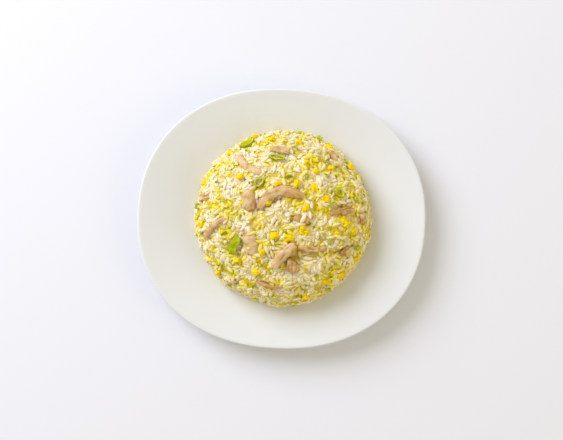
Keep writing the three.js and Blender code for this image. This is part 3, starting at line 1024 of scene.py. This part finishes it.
@dataclass(frozen=True)
class EggCurds(Sort):
    """Soft curds of scrambled egg, with smaller lumps all over."""

    rows: Sequence[Lying] = EGG
    detail: int = 5
    lobes: int = 11
    core: float = 0.64
    crispness: float = 2.4
    crag: float = 0.3
    bead_share: float = 0.8
    finish: Moist = Moist(
        "egg", tone=linear(255, 230, 2), other_tone=linear(246, 202, 0), blotch=2.4 * MM, contrast=2.2,
        skin=0.5 * MM, skin_depth=0.1 * MM, glow=0.45, glow_radius=(1.0, 0.75, 0.2), wet=0.4, dry=0.65,
        coat=0, density=1.24,
    )

    def curd(self, piece: Lying, number: int) -> Made:
        """Makes a curd.

        Args:
            piece: How it lies.
            number: Its number, from 0.

        Returns:
            Its flat points, its faces and no marks.
        """
        points, triangles = ball(self.detail)
        half = np.array([piece.length, piece.width, piece.thickness]) / 2
        toward = unit(points * half)
        rng = np.random.default_rng(400 + number)
        lobes = unit(rng.normal(size=(self.lobes, 3))) * rng.uniform(0.35, 0.8, (self.lobes, 1)) * half
        size = rng.uniform(0.25, 0.62, self.lobes) * half.min()
        # How far a line from the middle runs until it leaves each lobe: the longest way is the surface.
        ahead = toward @ lobes.T
        inside = ahead**2 - (lobes**2).sum(axis=1) + size**2
        reach = np.where(inside > 0, ahead + np.sqrt(np.maximum(inside, 0)), 0).max(axis=1)
        core = self.core / np.linalg.norm(toward / half, axis=1)
        reach = np.log(np.exp(self.crispness * reach) + np.exp(self.crispness * core)) / self.crispness
        place = toward * reach[:, None]
        fine = Waves(550 + number, 2.6)(place) * self.crag + Waves(500 + number, 1.1)(place) * self.crag / 3
        return toward * (reach + fine)[:, None], [triangles], {}

    def beads(self) -> Beads:
        """Gives the beads that stand for the curds.

        Returns:
            The beads in the heap's frame.
        """
        made = []
        for piece in self.rows:
            x = np.array([-0.5, 0, 0.5]) * (piece.length - piece.width)
            radius = (piece.width + piece.thickness) / 4 * self.bead_share
            made.append(self.strung(piece, listed(x, 0, 0), radius))
        return Beads.joined(made)

    def build(self) -> None:
        """Makes the curds."""
        self.build_each(self.rows, self.curd, self.finish.material(), "egg", "curd", "egg_curd")


@dataclass(frozen=True)
class SpringOnion(Sort):
    """Oval rings cut across a spring onion, and a piece of its flat leaf."""

    rings: Sequence[Lying] = ONION_RINGS
    leaves: Sequence[Lying] = ONION_LEAVES
    wall: float = 1.2
    sides: int = 72
    wall_sides: int = 16
    leaf_steps: int = 40
    leaf_sides: int = 48
    bead_share: float = 0.45
    leaf_bead: float = 1.1
    finish: Moist = Moist(
        "spring onion", tone=linear(188, 196, 0), other_tone=linear(132, 144, 0),
        tint_tone=linear(220, 220, 50), blotch=3 * MM, contrast=2.8, skin=0.5 * MM, glow=0.25,
        glow_radius=(0.5, 0.8, 0.2), wet=0.3, dry=0.5, coat=0.02, density=1.26,
    )

    def ring(self, piece: Lying, number: int) -> Made:
        """Makes a ring.

        Args:
            piece: How it lies.
            number: Its number, from 0.

        Returns:
            Its flat points, its faces and how pale it is.
        """
        turn, wall_turn = around(self.sides)[:, None], around(self.wall_sides)
        out = signed_power(np.cos(wall_turn), 0.6) * self.wall / 2
        up = signed_power(np.sin(wall_turn), 0.4) * piece.thickness / 2
        wave = 0.22 * np.sin(3 * turn + number) + 0.12 * np.sin(7 * turn + 2 * number)
        reach = piece.length / 2 - self.wall / 2 + out + wave
        y = (reach - (piece.length - piece.width) / 2) * np.sin(turn)
        flat = listed(reach * np.cos(turn), y, up * (1 + 0.12 * np.sin(2 * turn + number)))
        pale = np.tile(np.clip(0.5 - out / self.wall, 0, 1), self.sides)
        return flat, turned_faces(self.sides, self.wall_sides, closed=True), {"tint": pale}

    def leaf(self, piece: Lying, _: int) -> Made:
        """Makes the piece of leaf.

        Args:
            piece: How it lies.

        Returns:
            Its flat points, its faces and how pale it is.
        """
        end = np.sin(np.linspace(-1, 1, self.leaf_steps) * math.pi / 2 * 0.995)[:, None]
        turn = around(self.leaf_sides)
        girth = (1 - end**8) ** 0.5
        taper = (1 - 0.6 * (end / 2 + 0.5)) * (1 - 0.34 * np.exp(-(((end + 0.2) / 0.3) ** 2)))
        ribs = 1 + 0.12 * np.sin(11 * np.cos(turn) * taper)
        y = signed_power(np.cos(turn), 0.8) * girth * taper * piece.width / 2
        x = end * piece.length / 2 + 0.8 * np.sin(1.3 * y) * np.abs(end) ** 3
        y = y + 1.6 * end * np.abs(end)
        z = signed_power(np.sin(turn), 0.7) * girth * piece.thickness / 2 * ribs
        z = z + 0.5 * np.sin(0.6 * x + 0.5 * y) + 0.25 * np.sin(1.1 * y - 0.4 * x)
        flat = capped(listed(x, y, z), self.leaf_sides)
        pale = np.clip(0.35 * flat[:, 0] / piece.length + 0.1 + 0.1 * np.sin(2.2 * flat[:, 1]), 0, 1)
        return flat, turned_faces(self.leaf_steps, self.leaf_sides, flipped=True), {"tint": pale}

    def beads(self) -> Beads:
        """Gives the beads that stand for the rings and the leaf.

        Returns:
            The beads in the heap's frame.
        """
        made = []
        for piece in self.rings:
            turn = around(20)
            x, y = np.cos(turn) * (piece.length - self.wall) / 2, np.sin(turn) * (piece.width - self.wall) / 2
            made.append(self.strung(piece, listed(x, y, 0), piece.thickness * self.bead_share))
        x, y = np.linspace(-5.6, 5.6, 7), np.linspace(-1, 1, 5)[:, None]
        flat = listed(x, y * (3.2 - 0.22 * x), 0)
        return Beads.joined(made + [self.strung(piece, flat, self.leaf_bead) for piece in self.leaves])

    def build(self) -> None:
        """Makes the rings and the leaf."""
        material = self.finish.material()
        self.build_each(self.rings, self.ring, material, "spring_onion", "ring", "onion_ring")
        self.build_each(self.leaves, self.leaf, material, "spring_onion", "leaf", "onion_leaf")


# The rice
# --------


class Kind(Enum):
    """What a small body of the heap is."""

    PLAIN = "rice_plain"
    YOLKY = "rice_yolky"
    BROKEN = "rice_broken"
    CRUMB = "egg_crumbs"
    SNIP = "onion_snips"
    SPECK = "browned_specks"


Shares = tuple[tuple[Kind, float], ...]


@dataclass
class Grains:
    """Small long bodies in the heap's frame: each is a row of balls of one size along its axis."""

    middle: Points
    axis: Points
    reach: np.ndarray
    girth: np.ndarray
    kind: np.ndarray
    fixed: np.ndarray

    SHARES = np.array([-1, -1 / 3, 1 / 3, 1])

    def __len__(self) -> int:
        """Counts the bodies."""
        return len(self.middle)

    def values(self) -> list[np.ndarray]:
        """Gives the bodies' values, in the order of the fields."""
        return [getattr(self, each.name) for each in fields(self)]

    def of(self, kind: Kind) -> np.ndarray:
        """Says which bodies are of a kind."""
        return self.kind == kind.value

    def only(self, chosen: np.ndarray) -> "Grains":
        """Gives the chosen bodies."""
        return Grains(*(values[chosen] for values in self.values()))

    def joined(self, others: "Grains") -> "Grains":
        """Gives these bodies with others after them."""
        return Grains(*(np.concatenate(both) for both in zip(self.values(), others.values())))

    def balls(self) -> Points:
        """Gives the middles of each body's balls."""
        return self.middle[:, None] + self.axis[:, None] * (self.reach[:, None] * self.SHARES)[..., None]

    def follow(self, balls: Points) -> None:
        """Moves each body to where its balls have been pushed, still straight and as long as it was.

        Args:
            balls: The middles of the balls.
        """
        free = ~self.fixed
        self.middle[free] = balls.mean(axis=1)[free]
        self.axis[free] = unit((balls * self.SHARES[:, None]).sum(axis=1))[free]


def near_pairs(points: Points, reach: float) -> Pairs:
    """Finds the pairs of points that may be nearer than a reach.

    Args:
        points: The points.
        reach: The distance.

    Returns:
        The numbers of the first and of the second point of each pair.
    """
    cell = np.floor((points - points.min(axis=0)) / reach).astype(np.int64) + 1
    wide = cell.max(axis=0) + 2
    key = (cell[:, 0] * wide[1] + cell[:, 1]) * wide[2] + cell[:, 2]
    order = np.argsort(key, kind="stable")
    ranked = key[order]
    steps = [(x, y, z) for x in (-1, 0, 1) for y in (-1, 0, 1) for z in (-1, 0, 1)]
    pairs = []
    for x, y, z in steps[len(steps) // 2 :]:
        wanted = key + (x * wide[1] + y) * wide[2] + z
        low, high = (np.searchsorted(ranked, wanted, side) for side in ("left", "right"))
        count = high - low
        first = np.repeat(np.arange(len(points)), count)
        offset = np.arange(len(first)) - np.repeat(np.cumsum(count) - count, count)
        pair = np.stack([first, order[np.repeat(low, count) + offset]])
        pairs.append(pair[:, pair[0] < pair[1]] if (x, y, z) == (0, 0, 0) else pair)
    return tuple(np.concatenate(pairs, axis=1))


@dataclass(frozen=True)
class Settling:
    """Lets the rice settle as if it had been pressed in a bowl: every body sinks towards the heap's core,
    and is pushed off its neighbours, the larger pieces, the plate and the bowl."""

    heap: Heap
    plate: Plate
    larger: Beads
    rounds: int = 110
    search_rounds: int = 4
    usual_share: float = 0.9
    margin: float = 0.5
    pull: float = 0.06
    stiffness: float = 0.9
    hit_share: float = 0.6
    softness: float = 0.54
    depth: float = 2.6
    bowl: float = 2.1
    plate_gap: float = 0.1

    def settle(self, grains: Grains) -> None:
        """Moves the bodies to where they come to rest.

        Args:
            grains: The bodies.
        """
        per, larger = len(grains.SHARES), len(self.larger.points)
        count = len(grains) * per
        owner = np.append(np.repeat(np.arange(len(grains)), per), np.full(larger, -1))
        radius = np.append(np.repeat(grains.girth * self.softness, per), self.larger.radius)
        still = np.append(np.repeat(grains.fixed, per), np.ones(larger, bool))
        usual, free = np.quantile(radius, self.usual_share), ~grains.fixed
        wide = np.flatnonzero(radius[count:] > usual) + count
        for turn in range(self.rounds):
            sink = self.pull * (1 - turn / self.rounds)
            direction = self.heap.direction(grains.middle)
            grains.middle[free] -= (self.heap.normal(direction) * sink)[free]
            balls = np.concatenate([grains.balls().reshape(-1, 3), self.larger.points])
            if turn % self.search_rounds == 0:
                first, second = near_pairs(balls, 2 * usual + self.margin)
                apart = (owner[first] != owner[second]) & ~(still[first] & still[second])
                small, large = self.reaching(balls, radius, wide, count)
                first, second = np.append(first[apart], small), np.append(second[apart], large)
            balls = balls + self.push(balls, radius, still, first, second) * self.stiffness
            loose = self.kept_in(balls[:count], radius[:count])
            grains.follow(loose.reshape(len(grains), per, 3))

    def reaching(self, balls: Points, radius: np.ndarray, wide: np.ndarray, count: int) -> Pairs:
        """Finds which balls of the small bodies the widest balls of the larger pieces may reach.

        Args:
            balls: Middles of all balls.
            radius: Their radii.
            wide: Numbers of the wide balls.
            count: How many balls belong to the small bodies.

        Returns:
            The numbers of the small balls and of the wide ones.
        """
        away = np.linalg.norm(balls[None, :count] - balls[wide, None], axis=-1)
        hit, small = np.nonzero(away < radius[wide, None] + radius[None, :count] + self.margin)
        return small, wide[hit]

    def push(
        self, balls: Points, radius: np.ndarray, still: np.ndarray, first: np.ndarray, second: np.ndarray
    ) -> Points:
        """Works out how crossing balls push each other off.

        Args:
            balls: Middles of all balls.
            radius: Their radii.
            still: Which balls don't move.
            first: First ball of each pair that may cross.
            second: Second ball of each pair.

        Returns:
            The push on each ball.
        """
        apart = balls[first] - balls[second]
        away = np.linalg.norm(apart, axis=1)
        cross = radius[first] + radius[second] - away
        hit = cross > 0
        first, second, apart, away, cross = (values[hit] for values in (first, second, apart, away, cross))
        step = apart / np.maximum(away, 1e-6)[:, None] * cross[:, None]
        push, hits = np.zeros_like(balls), np.zeros(len(balls))
        for pushed, other, way in ((first, second, step), (second, first, -step)):
            np.add.at(push, pushed, way * np.where(still[other], 1.0, 0.5)[:, None])
            np.add.at(hits, pushed, 1)
        push /= np.maximum(1, hits * self.hit_share)[:, None]
        push[still] = 0
        return push

    def kept_in(self, balls: Points, radius: np.ndarray) -> Points:
        """Keeps balls above the core, inside the bowl and on the plate.

        Args:
            balls: Middles of the small bodies' balls.
            radius: Their radii.

        Returns:
            The balls where they may be.
        """
        direction, climb = self.heap.direction(balls), self.heap.climb(balls)
        sunk = self.heap.sunk(self.heap.point(direction))
        kept = np.clip(climb, -self.depth + radius - sunk, self.bowl - radius - sunk)
        balls = balls + self.heap.normal(direction) * (kept - climb)[:, None]
        spot = self.heap.placed(balls)
        rest = self.plate.seat(spot[:, 0], spot[:, 1]) - self.heap.middle[2] + radius + self.plate_gap
        balls[:, 2] = np.maximum(balls[:, 2], rest)
        return balls


@dataclass(frozen=True)
class Rice:
    """The heap: a core, and on it grains of rice, plain, coated with yolk or broken, with crumbs, snips and
    specks."""

    heap: Heap
    plate: Plate
    larger: Beads
    seed: int = 5
    count: int = 4000
    lowest: float = 0.03
    shares: Shares = ((Kind.PLAIN, 0.62), (Kind.YOLKY, 0.35), (Kind.CRUMB, 0.03))
    scattered_shares: Shares = ((Kind.BROKEN, 0.1), (Kind.SNIP, 0.08), (Kind.SPECK, 0.022))
    # The yolk spots, which also paint light and shade: paler rice towards the lit upper left, yellower
    # towards the shaded right.
    yolk: Sequence[Spot] = YOLK_LIGHT_AND_SHADE
    chance: float = 0.35
    patches: Reliefs = ((5, 0.35), (9, 0.4), (16, 0.45))
    runs: Reliefs = ((5, 0.19), (9, 0.28), (21, 0.24))
    yellowness: float = 0.055
    yolk_light_shade_share: float = 0.22
    # Below the crest the rice is made yellower and darker the deeper it lies: partly yolk gathered in the
    # gaps, partly painted shade.
    crest: float = 1.9
    deep_yolk_and_shade: float = 0.235
    flat_lying: float = 0.78
    # Half length and half thickness: mean and spread of whole grains, least and most of what is smaller.
    reach: Range = (2.3, 0.3)
    girth: Range = (1.54, 0.11)
    broken_reach: Range = (0.5, 1.6)
    small_reach: Range = (0.3, 1.5)
    small_girth: Range = (0.7, 1.4)
    speck_size: float = 0.5
    snip_longer: float = 0.6
    # Those that have a place of their own: half length, half thickness and how far they are above the core.
    fixed_crumb: tuple[float, float, float] = (0.9, 2.1, 1.2)
    fixed_snip: tuple[float, float, float] = (2.4, 1.6, 2.3)
    covered: float = 0.8
    rings: int = 6
    sides: int = 8
    flatness: float = 0.72
    snip_steps: int = 9
    core_rings: int = 90
    core_sides: int = 260
    core_depth: float = 0.45
    core_gap: float = 0.1

    # The tint tones are the yellow of yolk and also the darker yellow of painted shade deep between the
    # grains.
    plain: Moist = Moist(
        "rice", tone=linear(251, 233, 205), other_tone=linear(250, 232, 192),
        tint_tone=linear(242, 222, 62), blotch=7 * MM, contrast=1.6, glow=0.8, glow_depth=1 * MM,
        glow_radius=(1.0, 0.85, 0.5), wet=0.45, dry=0.65, coat=0, density=1.3,
    )
    yolky: Moist = Moist(
        "rice with yolk", tone=linear(250, 233, 196), other_tone=linear(249, 232, 178),
        tint_tone=linear(241, 219, 46), blotch=5 * MM, contrast=2, glow=0.8, glow_depth=1 * MM,
        glow_radius=(1.0, 0.8, 0.3), wet=0.45, dry=0.65, coat=0, density=1.3,
    )
    # The rice underneath lies deep, so it takes much of the darker yellow tint tone: partly yolk, partly
    # painted shade between the grains.
    base: Moist = Moist(
        "rice underneath", tone=linear(250, 229, 190), other_tone=linear(245, 222, 144),
        tint_tone=linear(214, 186, 16), blotch=3 * MM, contrast=3, glow=0.7, glow_depth=1 * MM, coat=0,
    )
    # Small dark specks scattered over the heap.
    browned: Moist = Moist(
        "browned specks", tone=linear(136, 96, 40), other_tone=linear(96, 66, 24), blotch=1 * MM,
    )

    def scattered(self) -> Grains:
        """Throws the bodies evenly into a shell round the core, mostly lying flat.

        Returns:
            The bodies, none of them fixed.
        """
        rng, count = np.random.default_rng(self.seed), self.count
        upward = self.heap.even_heights(count, self.lowest)
        outward = np.sqrt(1 - upward**2)
        turn = np.arange(count) * math.pi * (3 - math.sqrt(5)) + rng.uniform(0, 0.5, count)
        direction = listed(outward * np.cos(turn), outward * np.sin(turn), upward)
        direction = unit(direction + rng.normal(0, 0.01, direction.shape))
        point, normal = self.heap.point(direction), self.heap.normal(direction)
        kind = self.kinds(point, rng)
        small = np.isin(kind, [Kind.CRUMB.value, Kind.SNIP.value, Kind.SPECK.value])
        climb = np.where(small, rng.uniform(-0.2, 1.2, count), rng.uniform(-1.8, 1.2, count))
        middle = point + normal * (climb - self.heap.sunk(point))[:, None]
        axis = rng.normal(size=(count, 3))
        axis -= normal * ((axis * normal).sum(axis=1) * self.flat_lying)[:, None]
        reach, girth = rng.normal(*self.reach, count), rng.normal(*self.girth, count)
        reach = np.where(kind == Kind.BROKEN.value, rng.uniform(*self.broken_reach, count), reach)
        reach = np.where(small, rng.uniform(*self.small_reach, count), reach)
        girth = np.where(small, rng.uniform(*self.small_girth, count), girth)
        size = np.where(kind == Kind.SPECK.value, self.speck_size, 1)
        longer = np.where(kind == Kind.SNIP.value, self.snip_longer, 0)
        return Grains(middle, unit(axis), reach * size + longer, girth * size, kind, np.zeros(count, bool))

    def kinds(self, places: Points, rng: np.random.Generator) -> np.ndarray:
        """Chooses what lies where, so that each kind keeps its share but gathers in patches.

        Args:
            places: Where the bodies are.
            rng: The random draw.

        Returns:
            The kinds' values.
        """
        rank = rng.normal(size=len(places)) * self.chance
        # Yolky grains gather where the yolk spots are strong, so their places also follow the painted light
        # and shade.
        rank = rank + relief(self.patches, places) + spotted(self.yolk, places)
        rank = np.argsort(np.argsort(rank)) / len(places)
        names = np.array([kind.value for kind, _ in self.shares], dtype="<U20")
        chosen = names[np.searchsorted(np.cumsum([share for _, share in self.shares])[:-1], rank)]
        draw = rng.uniform(size=len(places))
        for kind, share in self.scattered_shares:
            chosen[draw < share] = kind.value
            draw = np.where(draw < share, 1, draw - share)
        return chosen

    def yolk_stain_and_shade(self, points: Points) -> np.ndarray:
        """Gives how yellow the rice is: more where yolk has run into it and in the yolk spots, which also
        paint light and shade, and deep down, where the darker yellow is partly yolk gathered in the gaps and
        partly painted shade.

        Args:
            points: Points in the heap's frame.

        Returns:
            The share of yellow at each.
        """
        # Partly painted shade: the deeper below the crest, the yellower and darker the rice is made, as it
        # also is where yolk gathers in the gaps.
        deep = np.clip(self.crest - self.heap.climb(points) - self.heap.sunk(points), 0, 4)
        runs, spots = relief(self.runs, points, seed=100), spotted(self.yolk, points)
        return np.clip(self.yellowness + runs + self.yolk_light_shade_share * spots + self.deep_yolk_and_shade * deep, 0, 1)

    def uncovered(self, grains: Grains) -> Grains:
        """Drops the bodies that lie under a larger piece."""
        away = np.linalg.norm(grains.middle[:, None] - self.larger.points[None], axis=-1)
        return grains.only((away > self.larger.radius * self.covered).all(axis=1))

    def fixed(self) -> Grains:
        """Gives the crumbs and snips that have a place of their own.

        Returns:
            The bodies, all of them fixed.
        """
        rows = [(row, Kind.CRUMB, *self.fixed_crumb) for row in EGG_CRUMBS]
        rows += [(row, Kind.SNIP, *self.fixed_snip) for row in ONION_SNIPS]
        places, kinds, reach, girth, lifts = zip(*rows)
        ends = np.array([
            self.heap.lay(np.array([[-1.0, 0, 0], [1.0, 0, 0]]), Lying((x, y), heading, 1, 1, 1, lift=lift))
            for (x, y, heading), lift in zip(places, lifts)
        ])
        middle, axis = ends.mean(axis=1), unit(ends[:, 1] - ends[:, 0])
        values = (np.array(row) for row in (reach, girth, [kind.value for kind in kinds]))
        return Grains(middle, axis, *values, np.ones(len(rows), bool))

    def grain_form(self) -> tuple[Points, Faces]:
        """Makes a grain of half length and half width 1, with its length along X.

        Returns:
            Its points and its faces.
        """
        end, turn = stations(self.rings), around(self.sides)
        girth = (1 - np.abs(end) ** 2.5) ** 0.62
        points = listed(end, girth * np.cos(turn), girth * np.sin(turn))
        points = np.concatenate([points, [[-1, 0, 0], [1, 0, 0]]])
        return points, turned_faces(self.rings, self.sides, flipped=True)

    def grain_piece(self, grains: Grains, kind: Kind, material: Material) -> None:
        """Makes the grains of one kind as one piece.

        Args:
            grains: All the settled bodies.
            kind: The kind.
            material: Its finish.
        """
        rng = np.random.default_rng(sum(map(ord, kind.value)))
        grains = grains.only(grains.of(kind))
        count = len(grains)
        each = (count, 1, 1)
        middle, axis = grains.middle, grains.axis
        reach, girth = grains.reach.reshape(each), grains.girth.reshape(each)
        normal = self.heap.normal(self.heap.direction(middle))
        side = unit(np.cross(axis, normal + rng.normal(0, 0.3, (count, 3))))
        other = np.cross(axis, side)
        form, faces = self.grain_form()
        x, y, z = form.T[:, None, :, None]
        wide = girth * rng.uniform(1.0, 1.15, each)
        thin = girth * self.flatness * rng.uniform(0.9, 1.1, each)
        bow = rng.normal(0, 0.35, each) * (x**2 - 0.35)
        pinch = 1 - rng.uniform(0, 0.25, each) * np.clip(x, 0, 1) ** 2
        dent = 1 + 0.05 * np.sin(3 * x + rng.uniform(0, TURN, each))
        points = (
            middle[:, None]
            + axis[:, None] * x * (reach + girth * 1.04)
            + side[:, None] * (y * wide * pinch * dent + bow)
            + other[:, None] * z * thin * pinch * dent
        ).reshape(-1, 3)
        # The lower parts of each grain take more of the darker yellow tint: partly yolk, partly painted
        # shade.
        tint = self.yolk_stain_and_shade(points) + np.repeat(rng.normal(0, 0.04, count), len(form))
        offsets = (np.arange(count) * len(form)).reshape(each)
        faces = [(block + offsets).reshape(-1, block.shape[1]) for block in faces]
        draft = Draft().add(self.heap.placed(points), faces, tint=np.clip(tint, 0, 1))
        draft.piece(kind.value, material, "rice", "rice_heap")

    def crumb_piece(self, grains: Grains, kind: Kind, material: Material, slot: str) -> None:
        """Makes the crumbs of egg, or the dark specks, as one piece.

        Args:
            grains: All the settled bodies.
            kind: The kind.
            material: Its finish.
            slot: The material slot that the finish stands for.
        """
        draft = Draft()
        for number in np.flatnonzero(grains.of(kind)):
            girth, axis = grains.girth[number], grains.axis[number]
            points, triangles = ball(3 if girth > 1.5 else 2)
            coarse, fine = Waves(900 + int(number), 1.1)(points), Waves(4000 + int(number), 0.4)(points)
            points = points * (1 + 0.2 * coarse + 0.08 * fine)[:, None] * girth * 1.05
            points = points + np.outer(points @ axis, axis) * grains.reach[number] / girth
            draft.add(self.heap.placed(points + grains.middle[number]), [triangles])
        draft.piece(kind.value, material, slot, "rice_heap")

    def snip_piece(self, grains: Grains, material: Material) -> None:
        """Makes the snips of spring onion, each a part of a ring, as one piece.

        Args:
            grains: All the settled bodies.
            material: The finish of spring onion.
        """
        rng = np.random.default_rng(31)
        draft, round_ = Draft(), around(self.sides)
        faces = turned_faces(self.snip_steps, self.sides, flipped=True)
        for number in np.flatnonzero(grains.of(Kind.SNIP)):
            middle, axis, girth = grains.middle[number], grains.axis[number], grains.girth[number]
            span = rng.uniform(0.5, 2.6)
            turn = np.linspace(-span / 2, span / 2, self.snip_steps)[:, None]
            radius = 2 * (grains.reach[number] + girth) / span * (0.5 + 0.25 * span / 2)
            reach = radius + min(0.55, girth * 0.5) * signed_power(np.cos(round_), 0.6)
            z = girth * 0.95 * signed_power(np.sin(round_), 0.5)
            flat = capped(listed(reach * np.sin(turn), reach * np.cos(turn) - radius, z), self.sides)
            side = unit(np.cross(self.heap.normal(self.heap.direction(middle)), axis))
            points = flat @ np.stack([axis, side, np.cross(axis, side)]) + middle
            draft.add(self.heap.placed(points), faces, tint=rng.choice([0.0, 0.1, 0.4, 0.8]))
        draft.piece(Kind.SNIP.value, material, "spring_onion", "rice_heap")

    def core_piece(self, material: Material) -> None:
        """Makes the core that shows between the grains.

        Args:
            material: Its finish.
        """
        rings, sides = self.core_rings, self.core_sides
        height, turn = np.linspace(0, math.pi / 2 * 0.985, rings)[:, None], around(sides)
        direction = listed(np.cos(height) * np.cos(turn), np.cos(height) * np.sin(turn), np.sin(height))
        core = self.heap.point(direction)
        bumps = Waves(3, 2.8)(core) * 0.45 + Waves(4, 12)(core) * 0.3
        core = core + self.heap.normal(direction) * (bumps - self.core_depth - self.heap.sunk(core))[:, None]
        spot = self.heap.placed(core)
        spot[:, 2] = np.maximum(spot[:, 2], self.plate.seat(spot[:, 0], spot[:, 1]) + self.core_gap)
        bottom = self.heap.placed(np.zeros(3)) + [0, 0, self.core_gap]
        spot = np.concatenate([spot, [bottom, spot[-sides:].mean(axis=0)]])
        # The core takes the yellow tint by its depth and place: partly yolk, partly painted shade between the
        # grains.
        draft = Draft().add(spot, turned_faces(rings, sides), tint=self.yolk_stain_and_shade(spot - self.heap.middle))
        draft.piece("rice_core", material, "rice", "rice_heap")

    def build(self, egg: Moist, onion: Moist) -> None:
        """Makes the heap.

        Args:
            egg: The finish of egg.
            onion: The finish of spring onion.
        """
        grains = self.uncovered(self.scattered()).joined(self.fixed())
        Settling(self.heap, self.plate, self.larger).settle(grains)
        self.core_piece(self.base.material())
        plain, yolky = self.plain.material(), self.yolky.material()
        for kind, material in ((Kind.PLAIN, plain), (Kind.YOLKY, yolky), (Kind.BROKEN, plain)):
            self.grain_piece(grains, kind, material)
        self.crumb_piece(grains, Kind.CRUMB, egg.material(), "egg")
        self.crumb_piece(grains, Kind.SPECK, self.browned.material(), "pork")
        self.snip_piece(grains, onion.material())


# The studio
# ----------


@dataclass(frozen=True)
class Lamp:
    """One soft lamp: where it hangs, as seen from the dish, in degrees, its power in watts and its colour."""

    name: str
    azimuth: float
    elevation: float
    power: float
    tone: Colour


@dataclass(frozen=True)
class Studio:
    """A pale table, a large soft lamp behind on the left, a weak one in front on the right, an even fill and
    a camera straight above.

    Lengths are in metres.
    """

    camera_height: float = 0.9
    camera_turn: float = 2.77
    camera_down: float = 0.0011
    lens: float = 65.7
    lamp_distance: float = 2.0
    lamp_size: float = 1.4
    lamps: tuple[Lamp, ...] = (
        Lamp("main lamp", azimuth=140.8, elevation=38, power=30.6, tone=(0.95, 1.0, 1.2)),
        Lamp("front lamp", azimuth=345, elevation=35, power=5.5, tone=(1.1, 1.0, 0.66)),
    )
    fill: float = 0.52
    fill_tone: Colour = (1.07, 1.0, 0.89)
    table_size: float = 12
    table_tone: Colour = linear(238, 239, 242)
    table_roughness: float = 0.85

    def table(self) -> None:
        """Makes the table."""
        bpy.ops.mesh.primitive_plane_add(size=self.table_size)
        table = bpy.context.object
        table.name = "table"
        inputs = {"Base Color": (*self.table_tone, 1), "Roughness": self.table_roughness}
        table.data.materials.append(finished("table", lambda nodes: inputs))

    def hang(self, lamp: Lamp) -> None:
        """Hangs a lamp, which shines on the dish.

        Args:
            lamp: The lamp.
        """
        azimuth, elevation = math.radians(lamp.azimuth), math.radians(lamp.elevation)
        flat = math.cos(elevation)
        towards = np.array([flat * math.cos(azimuth), flat * math.sin(azimuth), math.sin(elevation)])
        light = bpy.data.lights.new(lamp.name, "AREA")
        light.shape = "DISK"
        light.size = self.lamp_size
        light.energy = lamp.power
        light.color = lamp.tone
        holder = bpy.data.objects.new(lamp.name, light)
        holder.location = towards * self.lamp_distance
        holder.rotation_euler = (math.pi / 2 - elevation, 0, azimuth + math.pi / 2)
        bpy.context.scene.collection.objects.link(holder)

    def lights(self) -> None:
        """Hangs the lamps and lights the room."""
        for lamp in self.lamps:
            self.hang(lamp)
        world = bpy.data.worlds.new("room")
        world.use_nodes = True
        background = world.node_tree.nodes["Background"]
        background.inputs["Color"].default_value = (*self.fill_tone, 1)
        background.inputs["Strength"].default_value = self.fill
        bpy.context.scene.world = world

    def camera(self) -> None:
        """Puts the camera straight above the plate, turned a little, as the plate lies turned before it."""
        turn, down = math.radians(self.camera_turn), self.camera_down
        data = bpy.data.cameras.new("camera")
        data.lens = self.lens
        camera = bpy.data.objects.new("camera", data)
        camera.location = (down * math.sin(turn), -down * math.cos(turn), self.camera_height)
        camera.rotation_euler = (0, 0, turn)
        bpy.context.scene.collection.objects.link(camera)
        bpy.context.scene.camera = camera

    def build(self) -> None:
        """Sets up the studio."""
        self.camera()
        self.table()
        self.lights()
        bpy.context.scene.view_settings.view_transform = "Standard"


def main() -> None:
    """Builds the dish and the studio."""
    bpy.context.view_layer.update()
    Studio().build()
    plate, heap = Plate.of_frame(), Heap()
    plate.build(Glaze())
    pork, egg, onion = PorkStrips(heap), EggCurds(heap), SpringOnion(heap)
    for sort in (pork, egg, onion):
        sort.build()
    larger = Beads.joined([pork.beads(), egg.beads(), onion.beads()])
    Rice(heap, plate, larger).build(egg.finish, onion.finish)


if __name__ == "__main__":
    main()
